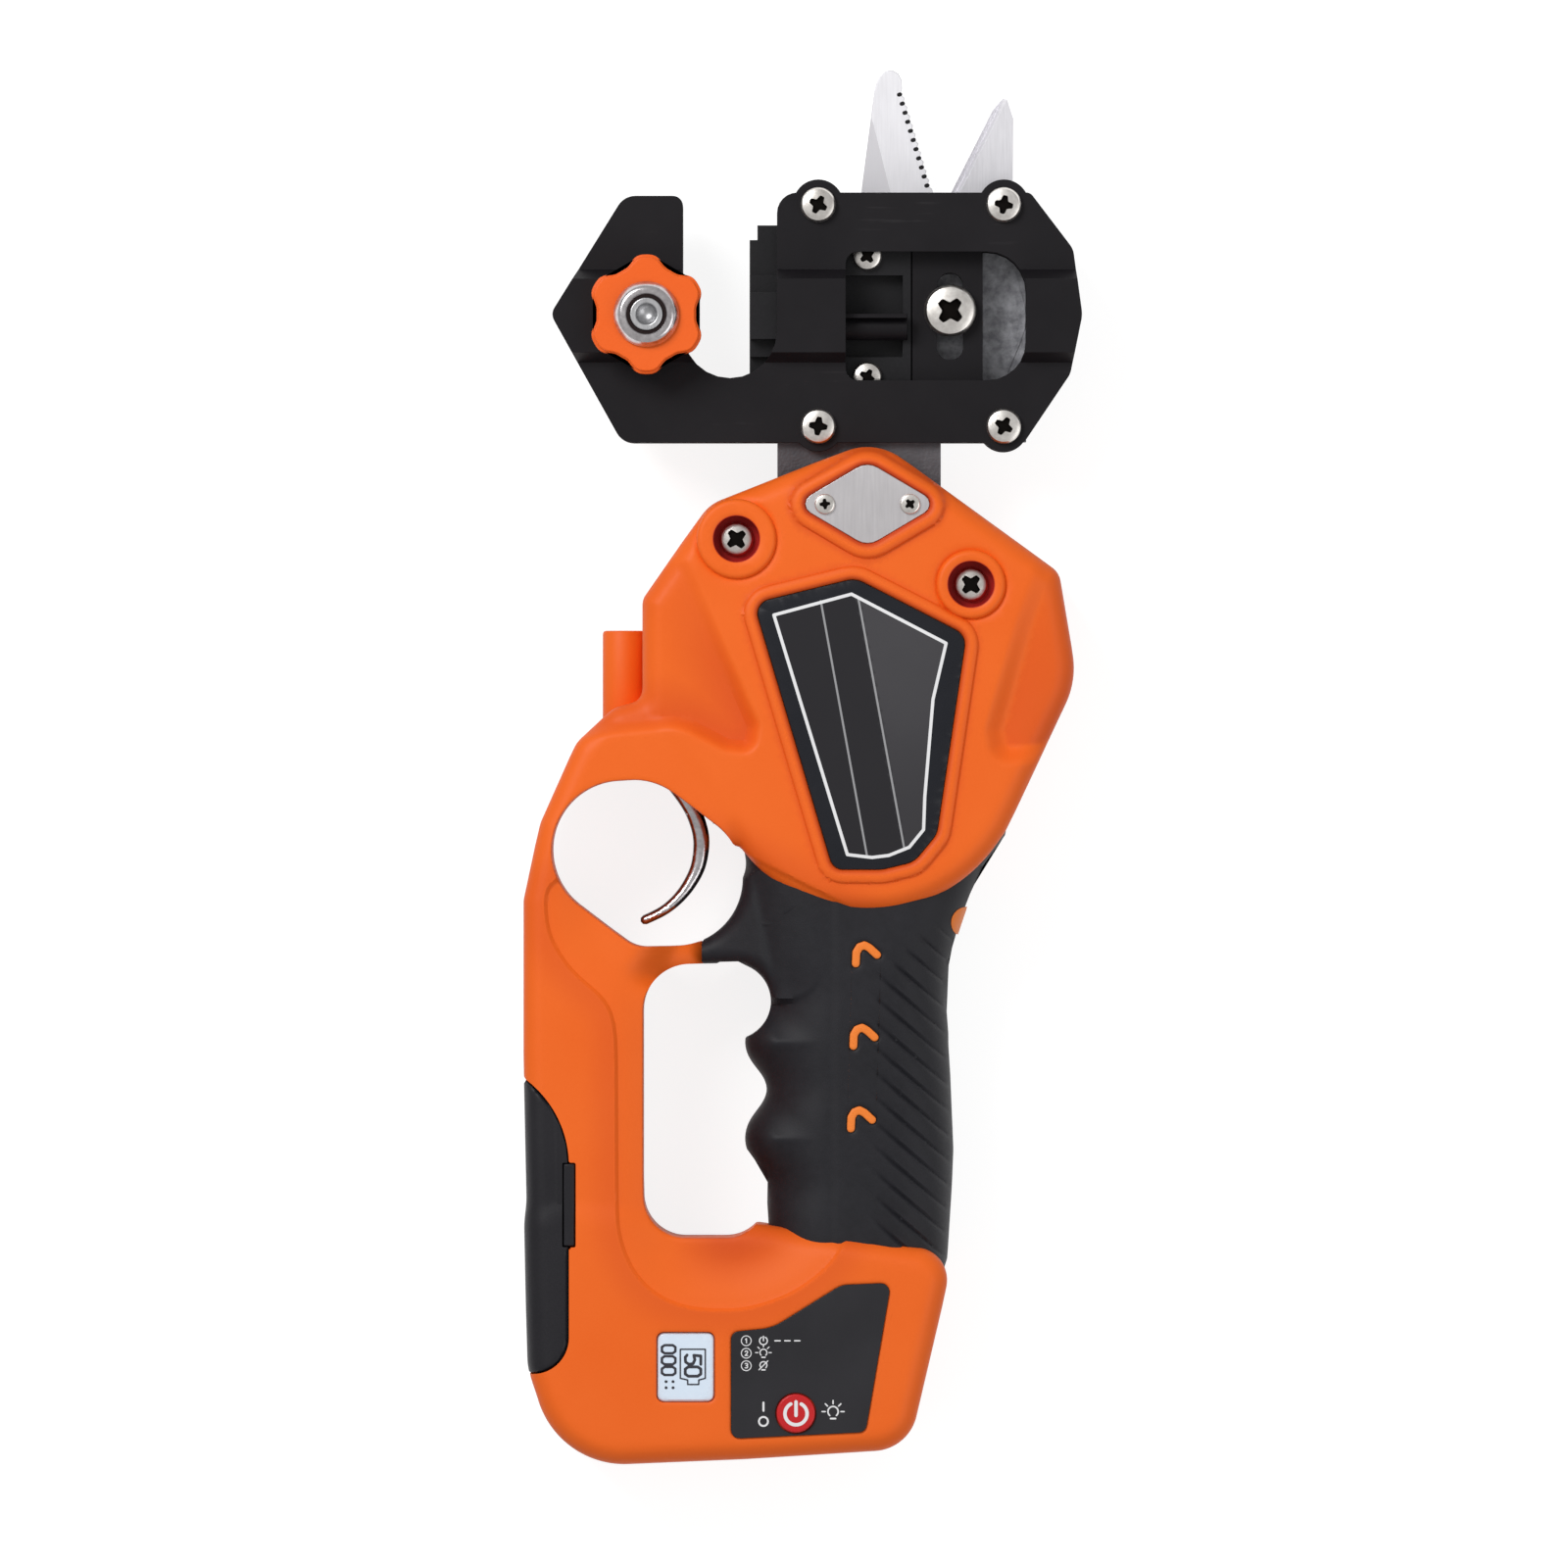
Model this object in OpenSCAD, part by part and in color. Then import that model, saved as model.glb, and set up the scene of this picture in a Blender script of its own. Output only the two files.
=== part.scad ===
// Battery pruner with a grafting head in front of its scissor blades, lying on its back shell.
// Plan positions are measured from the blade pivot: x to the right, y towards the blade tips.
// Heights are measured from the back face of the housing.

/* [Housing] */
// Thickness of the housing, back face to front face
body_t = 48; // [46:1:54]
// Wall of the plastic shells
shell_wall = 3; // [2.4:0.2:3.6]
// Rounding of the housing's outer edges
edge_r = 8; // [6:0.5:9]
// Radius of the crown over the blade pivot
crown_r = 14; // [13:0.5:16]
// Radius of the round belly that holds the gearbox
belly_r = 38.5; // [37:0.5:42]
// Distance from the blade pivot down to the middle of the belly
belly_drop = 61; // [58:1:66]
// Height of the base below the hand opening
base_h = 55.4; // [50:0.5:62]
// Step by which the guard and the battery column are thinner than the belly, each side
guard_step = 1; // [0.6:0.1:2]
// Depth of the moulded scoops beside the nameplate
scoop_d = 2.6; // [1:0.2:3.4]
// Height of the beads and bosses on the front face
bead_h = 0.8; // [0.4:0.1:1.2]
// Radius of the lamp barrel
lamp_r = 5.2; // [4.6:0.1:6]
// Length of the lamp barrel
lamp_len = 19.6; // [16:0.2:24]

/* [Hand openings] */
// Width of the finger hole
finger_w = 46.6; // [44:0.2:50]
// Height of the finger hole
finger_h = 40.8; // [38:0.2:44]
// Distance from the pivot to the middle of the finger hole, sideways
finger_off = 53.8; // [52:0.2:58]
// Distance from the pivot down to the middle of the finger hole
finger_drop = 87.8; // [85:0.2:92]
// Width of the guard beside the finger hole
guard_w = 7; // [6:0.2:10]
// Thickness of the strut between the two openings
strut_t = 4.6; // [4:0.2:8]
// Width of the battery column
column_w = 29.4; // [29:0.2:34]
// Width of the hand opening
hand_gap_w = 30.2; // [28:0.2:36]
// Length of the hand opening
hand_gap_len = 66.4; // [62:0.2:76]

/* [Grip] */
// Width of the rubber grip
grip_w = 45; // [43:0.5:50]
// Thickness of the rubber grip
grip_t = 42; // [40:0.5:46]
// Thickness of the rubber
rubber_t = 3; // [2:0.2:3.4]
// Distance between the finger swells
finger_pitch = 23.6; // [20:0.2:26]
// Height of the finger swells
finger_swell = 5.4; // [3:0.2:7]

/* [Graft head] */
// Distance from the blade pivot up to the middle line of the graft slider
head_rise = 46.2; // [45:0.2:50]
// Thickness of the pressed plates
plate_t = 3; // [2:0.2:3.6]
// Clear space between the two plates
plate_gap = 12.2; // [11.8:0.2:15]
// Height of the raised band pressed into the front plate
band_rise = 5; // [4:0.2:6]
// Width of the raised band
band_w = 18; // [17:0.2:21]
// Reach of the plates above the slider line
plate_up = 30.2; // [29:0.2:34]
// Reach of the plates below the slider line
plate_down = 31; // [30:0.2:34]
// Width of the twig throat
throat_w = 23; // [20:0.2:26]
// Width of the hook at its tip
hook_w = 32.4; // [31:0.2:38]
// Width of the plate between throat and window
bridge_w = 16.8; // [15:0.2:20]
// Width of the window in the plates
window_w = 44.2; // [43:0.2:48]
// Height of the window in the plates
window_h = 31.5; // [30:0.2:33]
// Width of the plate beyond the window
nose_w = 13.7; // [11:0.2:17]
// Distance between the plate screws, sideways
screw_dx = 45.4; // [44:0.2:48]
// Distance between the plate screws, along the tool
screw_dy = 54.2; // [54:0.2:57]

/* [Graft slider] */
// Height of the slider, along the tool
slide_h = 37.4; // [36.6:0.2:40]
// Travel of the moving blade, in degrees
swing = 14; // [8:1:14]
// Radius of the drive screw's shoulder
drive_r = 3; // [2.6:0.1:3.2]
// Radius of the drive screw's head
drive_head_r = 6.4; // [5.6:0.1:7]
// Thickness of the graft blade
graft_t = 1; // [0.8:0.1:1.2]

/* [Anvil] */
// Height of the anvil block, along the tool
anvil_h = 14.4; // [12:0.2:15]
// Width of the anvil block
anvil_w = 25; // [22:0.5:28]
// Radius of the clamp bolt
bolt_r = 4; // [3:0.2:4.2]
// Radius of the knob over its lobes
knob_r = 14.6; // [13:0.2:16]
// Thickness of the knob
knob_t = 8; // [6:0.5:9]
// Lobes of the knob
knob_lobes = 6; // [5:1:8]

/* [Scissor blades] */
// Thickness of each blade
blade_t = 3.5; // [3:0.1:3.6]
// Reach of the fixed blade above the pivot
fixed_reach = 107; // [100:0.5:112]
// Reach of the moving blade above the pivot, open
moving_reach = 100; // [96:0.5:104]
// Teeth on the fixed blade's saw edge
saw_teeth = 11; // [7:1:13]
// Radius of the blade pivot bolt
pivot_r = 4; // [3:0.1:4.4]

/* [Drive] */
// Tooth size of the bevel gears, pitch diameter over teeth
gear_module = 1; // [0.9:0.05:1.05]
// Teeth on the bevel pinion
pinion_teeth = 12; // [12:1:12]
// Gear ratio between sector and pinion
gear_ratio = 4; // [4:1:4]
// Radius of the planetary gearbox
gearbox_r = 17; // [15:0.2:18]
// Length of the planetary gearbox
gearbox_len = 30; // [24:0.5:34]
// Radius of the motor can
motor_r = 14; // [12:0.2:14.2]
// Length of the motor can
motor_len = 47; // [38:0.5:52]

/* [Trigger and switches] */
// Width of the trigger, front to back
trigger_w = 11; // [8:0.5:14]
// Radius of the trigger pin
trigger_pin_r = 2; // [1.6:0.1:2.4]
// Radius of the power button
button_r = 4.7; // [4:0.1:5.4]
// Travel of the power button
button_travel = 0.8; // [0.4:0.1:1]

/* [Battery pack] */
// Length of the battery pack, along the tool
pack_len = 72; // [71:0.5:76]
// Width of the pack's outer cover
pack_w = 10.9; // [10:0.1:12]
// Distance from the underside of the base to the pack
pack_lift = 22.4; // [20:0.2:26]
// Radius of a cell
cell_r = 9.1; // [8.8:0.05:9.3]
// Length of a cell
cell_len = 65; // [63:0.5:66]
// Length of the latch buttons
latch_len = 20; // [14:0.5:24]

/* [Fits] */
// Clearance between sliding faces
slide_gap = 0.3; // [0.2:0.05:0.4]
// Clearance of a turning shaft in its bore
bore_gap = 0.05; // [0.03:0.01:0.08]
// Clearance round fixed inserts
insert_gap = 0.1; // [0.05:0.01:0.2]

/* [Hidden] */
$fn = 48;

orange = "#ee6a24";
rubber_black = "#26262b";
plate_black = "#2a282e";
steel = "#c9cacc";
nickel = "#d8d2c4";
cast_gray = "#8c8d92";
dark = "#1c1c20";

mid_z = body_t / 2;
hull_fn = 32;
edge_steps = 3;
edge_flat = 0.6;
over = 1;

// Plan lines of the housing
finger_x = -finger_off;
finger_y = -finger_drop;
left_x = finger_x - finger_w / 2 - guard_w;
column_x = left_x + column_w;
grip_x0 = column_x + hand_gap_w;
grip_x1 = grip_x0 + grip_w;
grip_x = (grip_x0 + grip_x1) / 2;
gap_y1 = finger_y - finger_h / 2 - strut_t;
gap_y0 = gap_y1 - hand_gap_len;
base_y = gap_y0 - base_h;
belly_y = -belly_drop;
lobe_r = 8;

boss_left = [-32, -8.5];
boss_right = [25.3, -19.6];
boss_left_r = 9.7;
boss_right_r = 8.4;
boss_post_r = 6;
cup_r = 5.6;
cup_d = 7;
shell_screw_r = 1.9;
shell_head_r = 3.6;
left_wall_x = -55;
shoulder_left = [left_wall_x + 4, -24.5, 4];
shoulder_right = [42.3, -19.5, 5];
flank_right = [30, -40, 20.5];
hip_right = [28.5, -77, 6];

upper_spots = [[0, 0, crown_r], [boss_left.x, boss_left.y, boss_left_r + 0.6], shoulder_left,
    [shoulder_left.x, -50, 4], [0, belly_y, belly_r], hip_right, flank_right, shoulder_right];
guard_spots = [[left_wall_x - 3.5, -56, 7], [left_x + 19.6, -63, lobe_r],
    [left_x + 11.8, -80.4, lobe_r],
    [left_x + lobe_r, finger_y - 10, lobe_r], [left_x + lobe_r + 0.2, gap_y1 + 2, lobe_r],
    [column_x - 6, gap_y1 - 2, 6], [-30, -78, lobe_r], [-38, -52, lobe_r]];
column_spots = [[left_x + lobe_r, gap_y1 + 3, lobe_r], [left_x + lobe_r + 1.6, base_y + 26, lobe_r],
    [column_x - lobe_r, base_y + 26, lobe_r], [column_x - lobe_r, gap_y1 - 9, lobe_r]];
base_spots = [[left_x + lobe_r + 1.6, gap_y0 + 2, lobe_r], [left_x + 24.7, base_y + 22, 22],
    [grip_x1 - 19.2, base_y + 14.2, 11], [grip_x1 - 9, gap_y0 - 10.4, lobe_r],
        [column_x + 2, gap_y0, 6]];
strut_spots = [[column_x - 6, gap_y1 + strut_t / 2, strut_t / 2],
    [grip_x0 - 14, gap_y1 + strut_t / 2, strut_t / 2]];
strut_half = 11;

finger_spots = [[finger_x - finger_w / 2 + 16.9, finger_y + 3.3, 16.9],
    [finger_x - 3.2, finger_y + finger_h / 2 - 16.1, 16.1],
    [finger_x + finger_w / 2 - 16.5, finger_y - finger_h / 2 + 16.7, 16.5],
    [finger_x - 0.2, finger_y - finger_h / 2 + 8.2, 8.2]];
hand_spots = [[column_x + 10, gap_y1 - 10, 10], [grip_x0 - 9.5, gap_y1 - 9.5, 9.5],
    [grip_x0 - 10, gap_y0 + 10, 10], [column_x + 10, gap_y0 + 10, 10]];
lip_r = 6;
lip_steps = 4;
hole_fn = 56;

// Plan lines of the grip
grip_half = grip_t / 2;
grip_edge = 15;
grip_top_spot = [grip_x + 3.6, belly_y - 17, 32.4];
grip_neck_spot = [grip_x, gap_y1 - 7, grip_w / 2 - 1];
grip_waist_spot = [grip_x, gap_y1 - 9, grip_w / 2 - 1.3];
grip_palm_spot = [grip_x, gap_y1 - 45, grip_w / 2 + 0.6];
grip_heel_spot = [grip_x, gap_y0 - 3.5, grip_w / 2 - 0.8];
swell_y = gap_y1 - 18.7;
horn_spots = [[grip_x0 - 1, finger_y - 12, 5], [grip_x0 - 12.4, gap_y1 + 3.2, 3.2],
    [grip_x0 + 1, gap_y1 - 3, 4]];
horn_half = 12;
groove_rows = 12;
groove_pitch = 6;
groove_d = 0.8;
chevron_y = gap_y1 + 2.5;
chevron_pitch = 20.2;
chevron_x = grip_x + 1.4;
chevron_t = 1.6;
inlay_pos = [grip_x0 + 44, gap_y1 + 10.5, mid_z + 8];
inlay_r = 3.6;

// Heights of the head, counted up from the rear cheek of the casting
cheek_z = 4.8;
cheek_t = 3.4;
fixed_z = cheek_z + cheek_t;
blade_gap = 0.1;
lever_z = fixed_z + blade_t + blade_gap;
lever_top = lever_z + blade_t;
back_plate_z = lever_top + 0.5;
gap_z0 = back_plate_z + plate_t;
gap_z1 = gap_z0 + plate_gap;
front_z = gap_z1 + plate_t;
band_in_z = gap_z1 + band_rise;
band_out_z = front_z + band_rise;

// Plan lines of the head
main_x = -22.1;
throat_x = main_x - throat_w;
hook_tip_x = throat_x - hook_w;
window_x = main_x + bridge_w;
nose_x = window_x + window_w + nose_w;
throat_floor = -15.2;
plate_screw_x = -12;
screw_low_y = -27;
screw_spots = [[plate_screw_x, screw_low_y], [plate_screw_x + screw_dx, screw_low_y],
    [plate_screw_x, screw_low_y + screw_dy], [plate_screw_x + screw_dx, screw_low_y + screw_dy]];
standoff_r = 4.5;
ear_r = 6.2;
plate_screw_r = 2.5;
plate_head_r = 4.3;
plate_head_h = 2.6;
band_slope = 2.4;

plate_corners = [[throat_x - 14.4, plate_up - 0.8, 5], [throat_x, plate_up - 0.8, 2.5],
    [throat_x, throat_floor, throat_w / 2 - 0.01], [main_x, throat_floor, throat_w / 2 - 0.01],
    [main_x, plate_up, 5], [nose_x - 12.7, plate_up, 2], [nose_x - 2.2, 16.4, 5], [nose_x, 0.2, 8],
    [nose_x - 2.9, -14.2, 5], [nose_x - 14.2, -plate_down, 2], [throat_x - 14.9, -plate_down, 5],
    [hook_tip_x, 0.4, 3]];
window_corners = [[window_x, -window_h / 2, 3], [window_x + window_w, -window_h / 2, 9.6],
    [window_x + window_w, window_h / 2, 9.6], [window_x, window_h / 2, 3]];

// Slider, drive screw and anvil, with y from the slider line
drive_x = 20.3;
drive_y = 1.4;
drive_arm = norm([drive_x, head_rise + drive_y]);
drive_angle = atan2(drive_x, head_rise + drive_y);
slot_play = 0.25;
slot_half = 10.4;
slide_x0 = -28.8;
slide_x1 = 28.3;
slide_z0 = gap_z0 + slide_gap;
slide_base_t = 3.2;
holder_z = slide_z0 + slide_base_t;
slot_plate_t = 8;
slot_plate_x = 11;
holder_x1 = slot_plate_x - slide_gap;
ear_z = gap_z1 - slide_gap - plate_head_h - 0.4;
land_z = band_in_z - slide_gap;
land_half = band_w / 2 - plate_t - slide_gap;
pocket_x = window_x;
pocket_half = 10;
holder_screw_x = 0;
holder_screw_y = slide_h / 2 - 3.9;
holder_screw_r = 2;
holder_head_r = 3.6;
graft_back_x = holder_x1 - 1;
graft_z0 = holder_z + 0.6;
graft_z1 = land_z - 1;
graft_r = 3.2;
graft_bow_z = (graft_z0 + graft_z1) / 2;
anvil_x = -54;
anvil_y = 0.2;
anvil_face = 2;
anvil_z1 = band_in_z;
knob_z = band_out_z + slide_gap;
knob_waist = knob_r - 2.1;
nut_r = 8.4;
nut_h = 3;
bolt_head_h = 5;
bolt_end_z = knob_z + knob_t + nut_h;

// Bevel gears share the point where their axes cross
pinion_pitch_r = gear_module * pinion_teeth / 2;
sector_pitch_r = pinion_pitch_r * gear_ratio;
sector_step = 360 / (pinion_teeth * gear_ratio);
sector_side = 6;
cone_len = norm([pinion_pitch_r, sector_pitch_r]);
gear_inner = 0.72;
tooth_up = 0.9 * gear_module;
tooth_down = 1.2 * gear_module;
sector_rim_r = sector_pitch_r + 0.8;
heel_lift = 6;
shaft_r = 4;
flange_y = -(sector_pitch_r + 12);
flange_t = 4;
flange_r = gearbox_r + 1;
bar_y = head_rise - plate_down + 0.2;
leg_z = mid_z - 2.8;
leg_w = 7;
neck_x = -22;
neck_w = 40;
neck_y = -9;
neck_end = head_rise - plate_down - insert_gap;
bearing_r = 9;
hub_r = 9.5;

// Trigger and its switch
trigger_pivot = [finger_x + 10.2, finger_y + 19.5];
trigger_in = [finger_x - 6.8, finger_y + 4.5, 18];
trigger_out = [finger_x - 5.6, finger_y + 6.2, 21.6];
trigger_top = 47;
trigger_tip = -73;
trigger_boss_r = 4.2;
trigger_slot = trigger_w / 2 + 0.6;
spring_wire = 0.4;
spring_r = 3.2;
spring_turns = 3;
spring_pitch = 1.5;
spring_sides = 6;
spring_rings = 16;
spring_z = mid_z + trigger_slot + 1.2;
spring_room = spring_turns * spring_pitch + 2.4;
pin_half = trigger_slot + spring_room + 2;
plunger_y = finger_y + 11.2;
plunger_x = trigger_out.x + 21.6;
plunger_r = 1.5;
switch_x = plunger_x + 5.5;
switch_size = [13, 8, 6.4];

// Battery pack
pack_x = left_x + pack_w;
pack_y0 = base_y + pack_lift;
pack_y1 = pack_y0 + pack_len;
pack_spots = [[pack_x - 26, pack_y1 - 21.4, 26], [pack_x - 8.6, pack_y0 + 8.6, 8.6]];
cell_x = left_x + 15.2;
cell_z = cell_r + 0.3;
tray_half = 2 * cell_r + 1.2;
tray_x0 = left_x + 3;
tray_x1 = cell_x + cell_r + 0.7;
tray_y0 = pack_y0 + (pack_len - cell_len) / 2 - 1.6;
tray_y1 = tray_y0 + cell_len + 3.2;
latch_x0 = pack_x - 1;
latch_x1 = pack_x + 1.6;
latch_y = pack_y0 + pack_len * 0.57;
latch_proud = 0.4;
latch_travel = 1.2;
latch_z0 = mid_z + cell_z + cell_r + latch_travel + slide_gap;
column_half = mid_z - guard_step;
guard_half = column_half - 0.15;

// Front details
plate_corner_n = 6;
name_corners = [[-26, -24.7, 3], [-4, -18.7, 5], [23.4, -33, 4], [16.6, -80.6, 5], [-0.2, -89, 6],
    [-8.4, -86.6, 3]];
cover_corners = [[17.6, 0, 2.5], [0, 10.4, 5], [-17.6, 0, 2.5], [0, -10.4, 5]];
cover_t = 1.2;
cover_screw_x = 10.4;
cover_screw_r = 1.2;
cover_head_r = 2.6;
name_t = 0.8;
bead_w = 1.6;
lcd_size = [14.2, 17.1];
lcd_pos = [column_x + 3.2, base_y + 15.3];
lcd_t = 2;
lcd_sunk = 1;
panel_corners = [[grip_x0 - 8.8, base_y + 32.4, 2], [grip_x0 + 1.3, base_y + 33.4, 12],
    [grip_x0 + 18.2, base_y + 43.9, 6], [grip_x0 + 30.2, base_y + 44.4, 2],
        [grip_x0 + 24, base_y + 8, 2],
    [grip_x0 - 8.8, base_y + 6.4, 2]];
panel_t = 0.8;
button_pos = [grip_x0 + 7, base_y + 12.6];
button_proud = 0.9;
board_z = body_t - 10;
board_t = 1.6;
scoop_left = [[left_wall_x - 12, -22, 1], [-44, -15.5, 3], [-27.6, -55, 4], [-33, -62.5, 5],
    [left_wall_x - 12, -54, 1]];
scoop_right = [[41, -8, 1], [33, -34, 6], [29.2, -56, 5], [36, -64, 5], [60, -50, 1], [60, -12, 1]];
back_screw_spots = [[column_x - 2.6, gap_y1 - 4, 2.4], [left_x + 30, base_y + 9, 3],
    [grip_x1 - 12.5, base_y + 11, 3],
    [boss_right.x + 5.5, -70, 3]];
back_screw_r = 1.6;
back_head_r = 3;
back_cup_d = 6;
lamp_pos = [left_wall_x - lamp_r + 0.6, -50.4, mid_z];
lens_r = 3.4;
lens_t = 1.4;

// The box round the whole tool, whose middle is the origin
box_mid = [(left_x + nose_x) / 2, (base_y + fixed_reach) / 2];

// Unit vector along a plan direction
function unit(v) = v / norm(v);

// Arc that rounds the corner b between a and c
function corner_arc(a, b, c, r, n) = let(
    u = unit(a - b),
    w = unit(c - b),
    half = acos(u * w) / 2,
    o = b + unit(u + w) * r / sin(half),
    s = b + u * r / tan(half) - o,
    e = b + w * r / tan(half) - o,
    a0 = atan2(s.y, s.x),
    turn = ((atan2(e.y, e.x) - a0 + 540) % 360) - 180)
    [for (i = [0:n]) o + r * [cos(a0 + turn * i / n), sin(a0 + turn * i / n)]];

// Outline through corners [x, y, radius]
function rounded(list, n = plate_corner_n) = let(k = len(list))
    [for (i = [0:k - 1]) let(a = list[(i + k - 1) % k], b = list[i], c = list[(i + 1) % k])
        each corner_arc([a.x, a.y], [b.x, b.y], [c.x, c.y], b.z, n)];

// Outline round a set of circles [x, y, radius], as the farthest point in each direction
function far(spots, u) = let(m = max([for (s = spots) s.x * u.x + s.y * u.y + s.z]))
    [for (s = spots) if (s.x * u.x + s.y * u.y + s.z == m) s][0];
function ring(spots, grow, n) = [for (i = [0:n - 1])
    let(u = [cos(360 * (i + 0.37) / n), sin(360 * (i + 0.37) / n)], s = far(spots, u)) [s.x,
        s.y] + (s.z + grow) * u];

// Points on the two pitch cones, h above the pitch surface, at share k of the cone length
function sector_point(a, h, k) = k * [(sector_pitch_r + h * pinion_pitch_r / cone_len) * cos(a),
    (sector_pitch_r + h * pinion_pitch_r / cone_len) * sin(a),
    -pinion_pitch_r + h * sector_pitch_r / cone_len];
function pinion_point(a, h, k) = k * [(pinion_pitch_r + h * sector_pitch_r / cone_len) * sin(a),
    -sector_pitch_r + h * pinion_pitch_r / cone_len,
    -(pinion_pitch_r + h * sector_pitch_r / cone_len) * cos(a)];

// Places the drawing so that the origin is under the middle of the tool
module placed() {
    translate([-box_mid.x, -box_mid.y, 0]) children();
}

module slab(z0, z1) {
    translate([0, 0, z0]) linear_extrude(z1 - z0) children();
}

module blob(spots, grow = 0) {
    hull() for (s = spots) translate([s.x, s.y]) circle(r = s.z + grow, $fn = hull_fn);
}

// Round-edged disc, the building block of the moulded forms
module puck(r, half, e) {
    rotate_extrude($fn = hull_fn)
        polygon(concat(
            [[0, -half]],
            [for (i = [0:edge_steps])
                let(a = 90 * i / edge_steps) [r - e + e * sin(a), -half + e - e * cos(a)]],
            [for (i = [0:edge_steps])
                let(a = 90 * i / edge_steps) [r - e + e * cos(a), half - e + e * sin(a)]],
            [[0, half]]));
}

module lobe(spots, half, e, grow = 0) {
    hull() for (s = spots) translate([s.x, s.y, mid_z])
        puck(s.z + grow, half + grow, min(e, s.z - edge_flat) + grow);
}

module front_half() {
    translate([-200, -300, mid_z]) cube([400, 500, body_t]);
}

module back_half() {
    translate([-200, -300, mid_z - body_t]) cube([400, 500, body_t]);
}

// Hand opening with rounded lips at both faces
module lipped_hole(spots, half) {
    lips = [for (j = [lip_steps:-1:0])
        let(a = 90 * j / lip_steps) [half - lip_r * (1 - sin(a)), lip_r * (1 - cos(a))]];
    stack(spots, concat(
        [[mid_z - half - over, lip_r + 4 * over]],
        [for (p = lips) [mid_z - p[0], p[1]]],
        [for (i = [lip_steps:-1:0]) [mid_z + lips[i][0], lips[i][1]]],
        [[mid_z + half + over, lip_r + 4 * over]]));
}

// Solid through the outlines of the spots, grown by profile[i][1] at height profile[i][0]
module stack(spots, profile) {
    n = hole_fn;
    top = (len(profile) - 1) * n;
    polyhedron(
        points = [for (p = profile, q = ring(spots, p[1], n)) [q.x, q.y, p[0]]],
        faces = concat(
            [for (k = [0:len(profile) - 2], i = [0:n - 1])
                let(a = k * n + i, b = k * n + (i + 1) % n) each [
                [a, a + n, b + n],
                [a, b + n, b]]],
            [[for (i = [0:n - 1]) i]],
            [[for (i = [n - 1:-1:0]) top + i]]));
}

module grip_form(inset = 0) {
    lobe([grip_top_spot, grip_neck_spot], grip_half - 0.1, grip_edge, -inset);
    lobe([grip_waist_spot, grip_palm_spot, grip_heel_spot], grip_half, grip_edge, -inset);
}

// Orange moulding without its hollow, both halves
module housing_form() {
    lobe(upper_spots, mid_z, edge_r);
    lobe(guard_spots, guard_half, edge_r);
    lobe(column_spots, column_half, edge_r);
    lobe(base_spots, mid_z, edge_r);
    lobe(strut_spots, strut_half, edge_r);
}

module lamp_barrel(r, y0, y1) {
    translate([lamp_pos.x, y1, lamp_pos.z]) rotate([90, 4, 0]) cylinder(r = r, h = y1 - y0);
}

module hand_openings() {
    lipped_hole(finger_spots, mid_z);
    lipped_hole(hand_spots, mid_z);
}

module posts() {
    for (p = [boss_left, boss_right]) translate(p) circle(r = boss_post_r);
    translate([back_screw_spots[3].x, back_screw_spots[3].y]) circle(r = boss_post_r - 1);
}

// Room for gears, gearbox, motor, trigger, board and battery
module housing_room() {
    slab(shell_wall, body_t - shell_wall) difference() {
        blob(upper_spots, -shell_wall - 2);
        blob(finger_spots, shell_wall + 2);
        posts();
        translate([left_wall_x - 1, -70]) square([12, 26]);
    }
    translate([0, flange_y - gearbox_len + over, mid_z]) rotate([90, 4, 0])
        cylinder(r = motor_r + slide_gap, h = motor_len + 4);
    slab(shell_wall, body_t - shell_wall) difference() {
        blob(base_spots, -shell_wall - 2);
        translate([column_x - 8 - 100, base_y + 20]) square([100, 100]);
        blob(hand_spots, shell_wall + lip_r);
        for (i = [1, 2]) translate([back_screw_spots[i].x, back_screw_spots[i].y])
            circle(r = boss_post_r - 1);
    }
    slab(mid_z - 4, mid_z + 4) translate([grip_x - 4, gap_y0 - 16]) square([8, hand_gap_len]);
}

module neck_passage() {
    slab(cheek_z, gap_z1) translate([neck_x, -20]) square([neck_w, 60]);
}

// Room for the lever's heel at full swing
module lever_room() {
    slab(lever_z - slide_gap, lever_top + slide_gap) intersection() {
        circle(r = sector_rim_r + slide_gap);
        translate([0, -sector_rim_r]) square([sector_rim_r + slide_gap, sector_rim_r - heel_lift]);
    }
}

module trigger_room() {
    slab(mid_z - trigger_slot, mid_z + trigger_slot)
        blob([[trigger_pivot.x, trigger_pivot.y, trigger_boss_r + 0.6],
            [trigger_pivot.x + 1.4, trigger_pivot.y - 9.7, 7.4]]);
    slab(mid_z - 1, mid_z + trigger_slot + spring_room) translate(trigger_pivot)
        circle(r = spring_r + spring_wire + 0.6);
    slab(mid_z - pin_half - 0.1, mid_z + pin_half + 0.1) translate(trigger_pivot)
        circle(r = trigger_pin_r + 0.2);
    translate([plunger_x - 3, plunger_y - 2.2, mid_z - 2.3]) cube([10, 4.4, 4.6]);
    translate([switch_x - 0.1, plunger_y - switch_size.y / 2 - 0.1, mid_z - switch_size.z / 2 - 0.1])
        cube(switch_size + [0.2, 0.2, 0.2]);
}

module battery_room() {
    slab(mid_z - tray_half - slide_gap, mid_z + tray_half + slide_gap)
        translate([left_x - over, tray_y0 - slide_gap])
            square([tray_x1 + 0.6 - left_x + over, tray_y1 - tray_y0 + 2 * slide_gap]);
    slab(-over, body_t + over) blob(pack_spots, slide_gap);
    slab(latch_z0 - 1, body_t + over) latch_plan(slide_gap);
    slab(-over, body_t - latch_z0 + 1) latch_plan(slide_gap);
}

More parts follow.
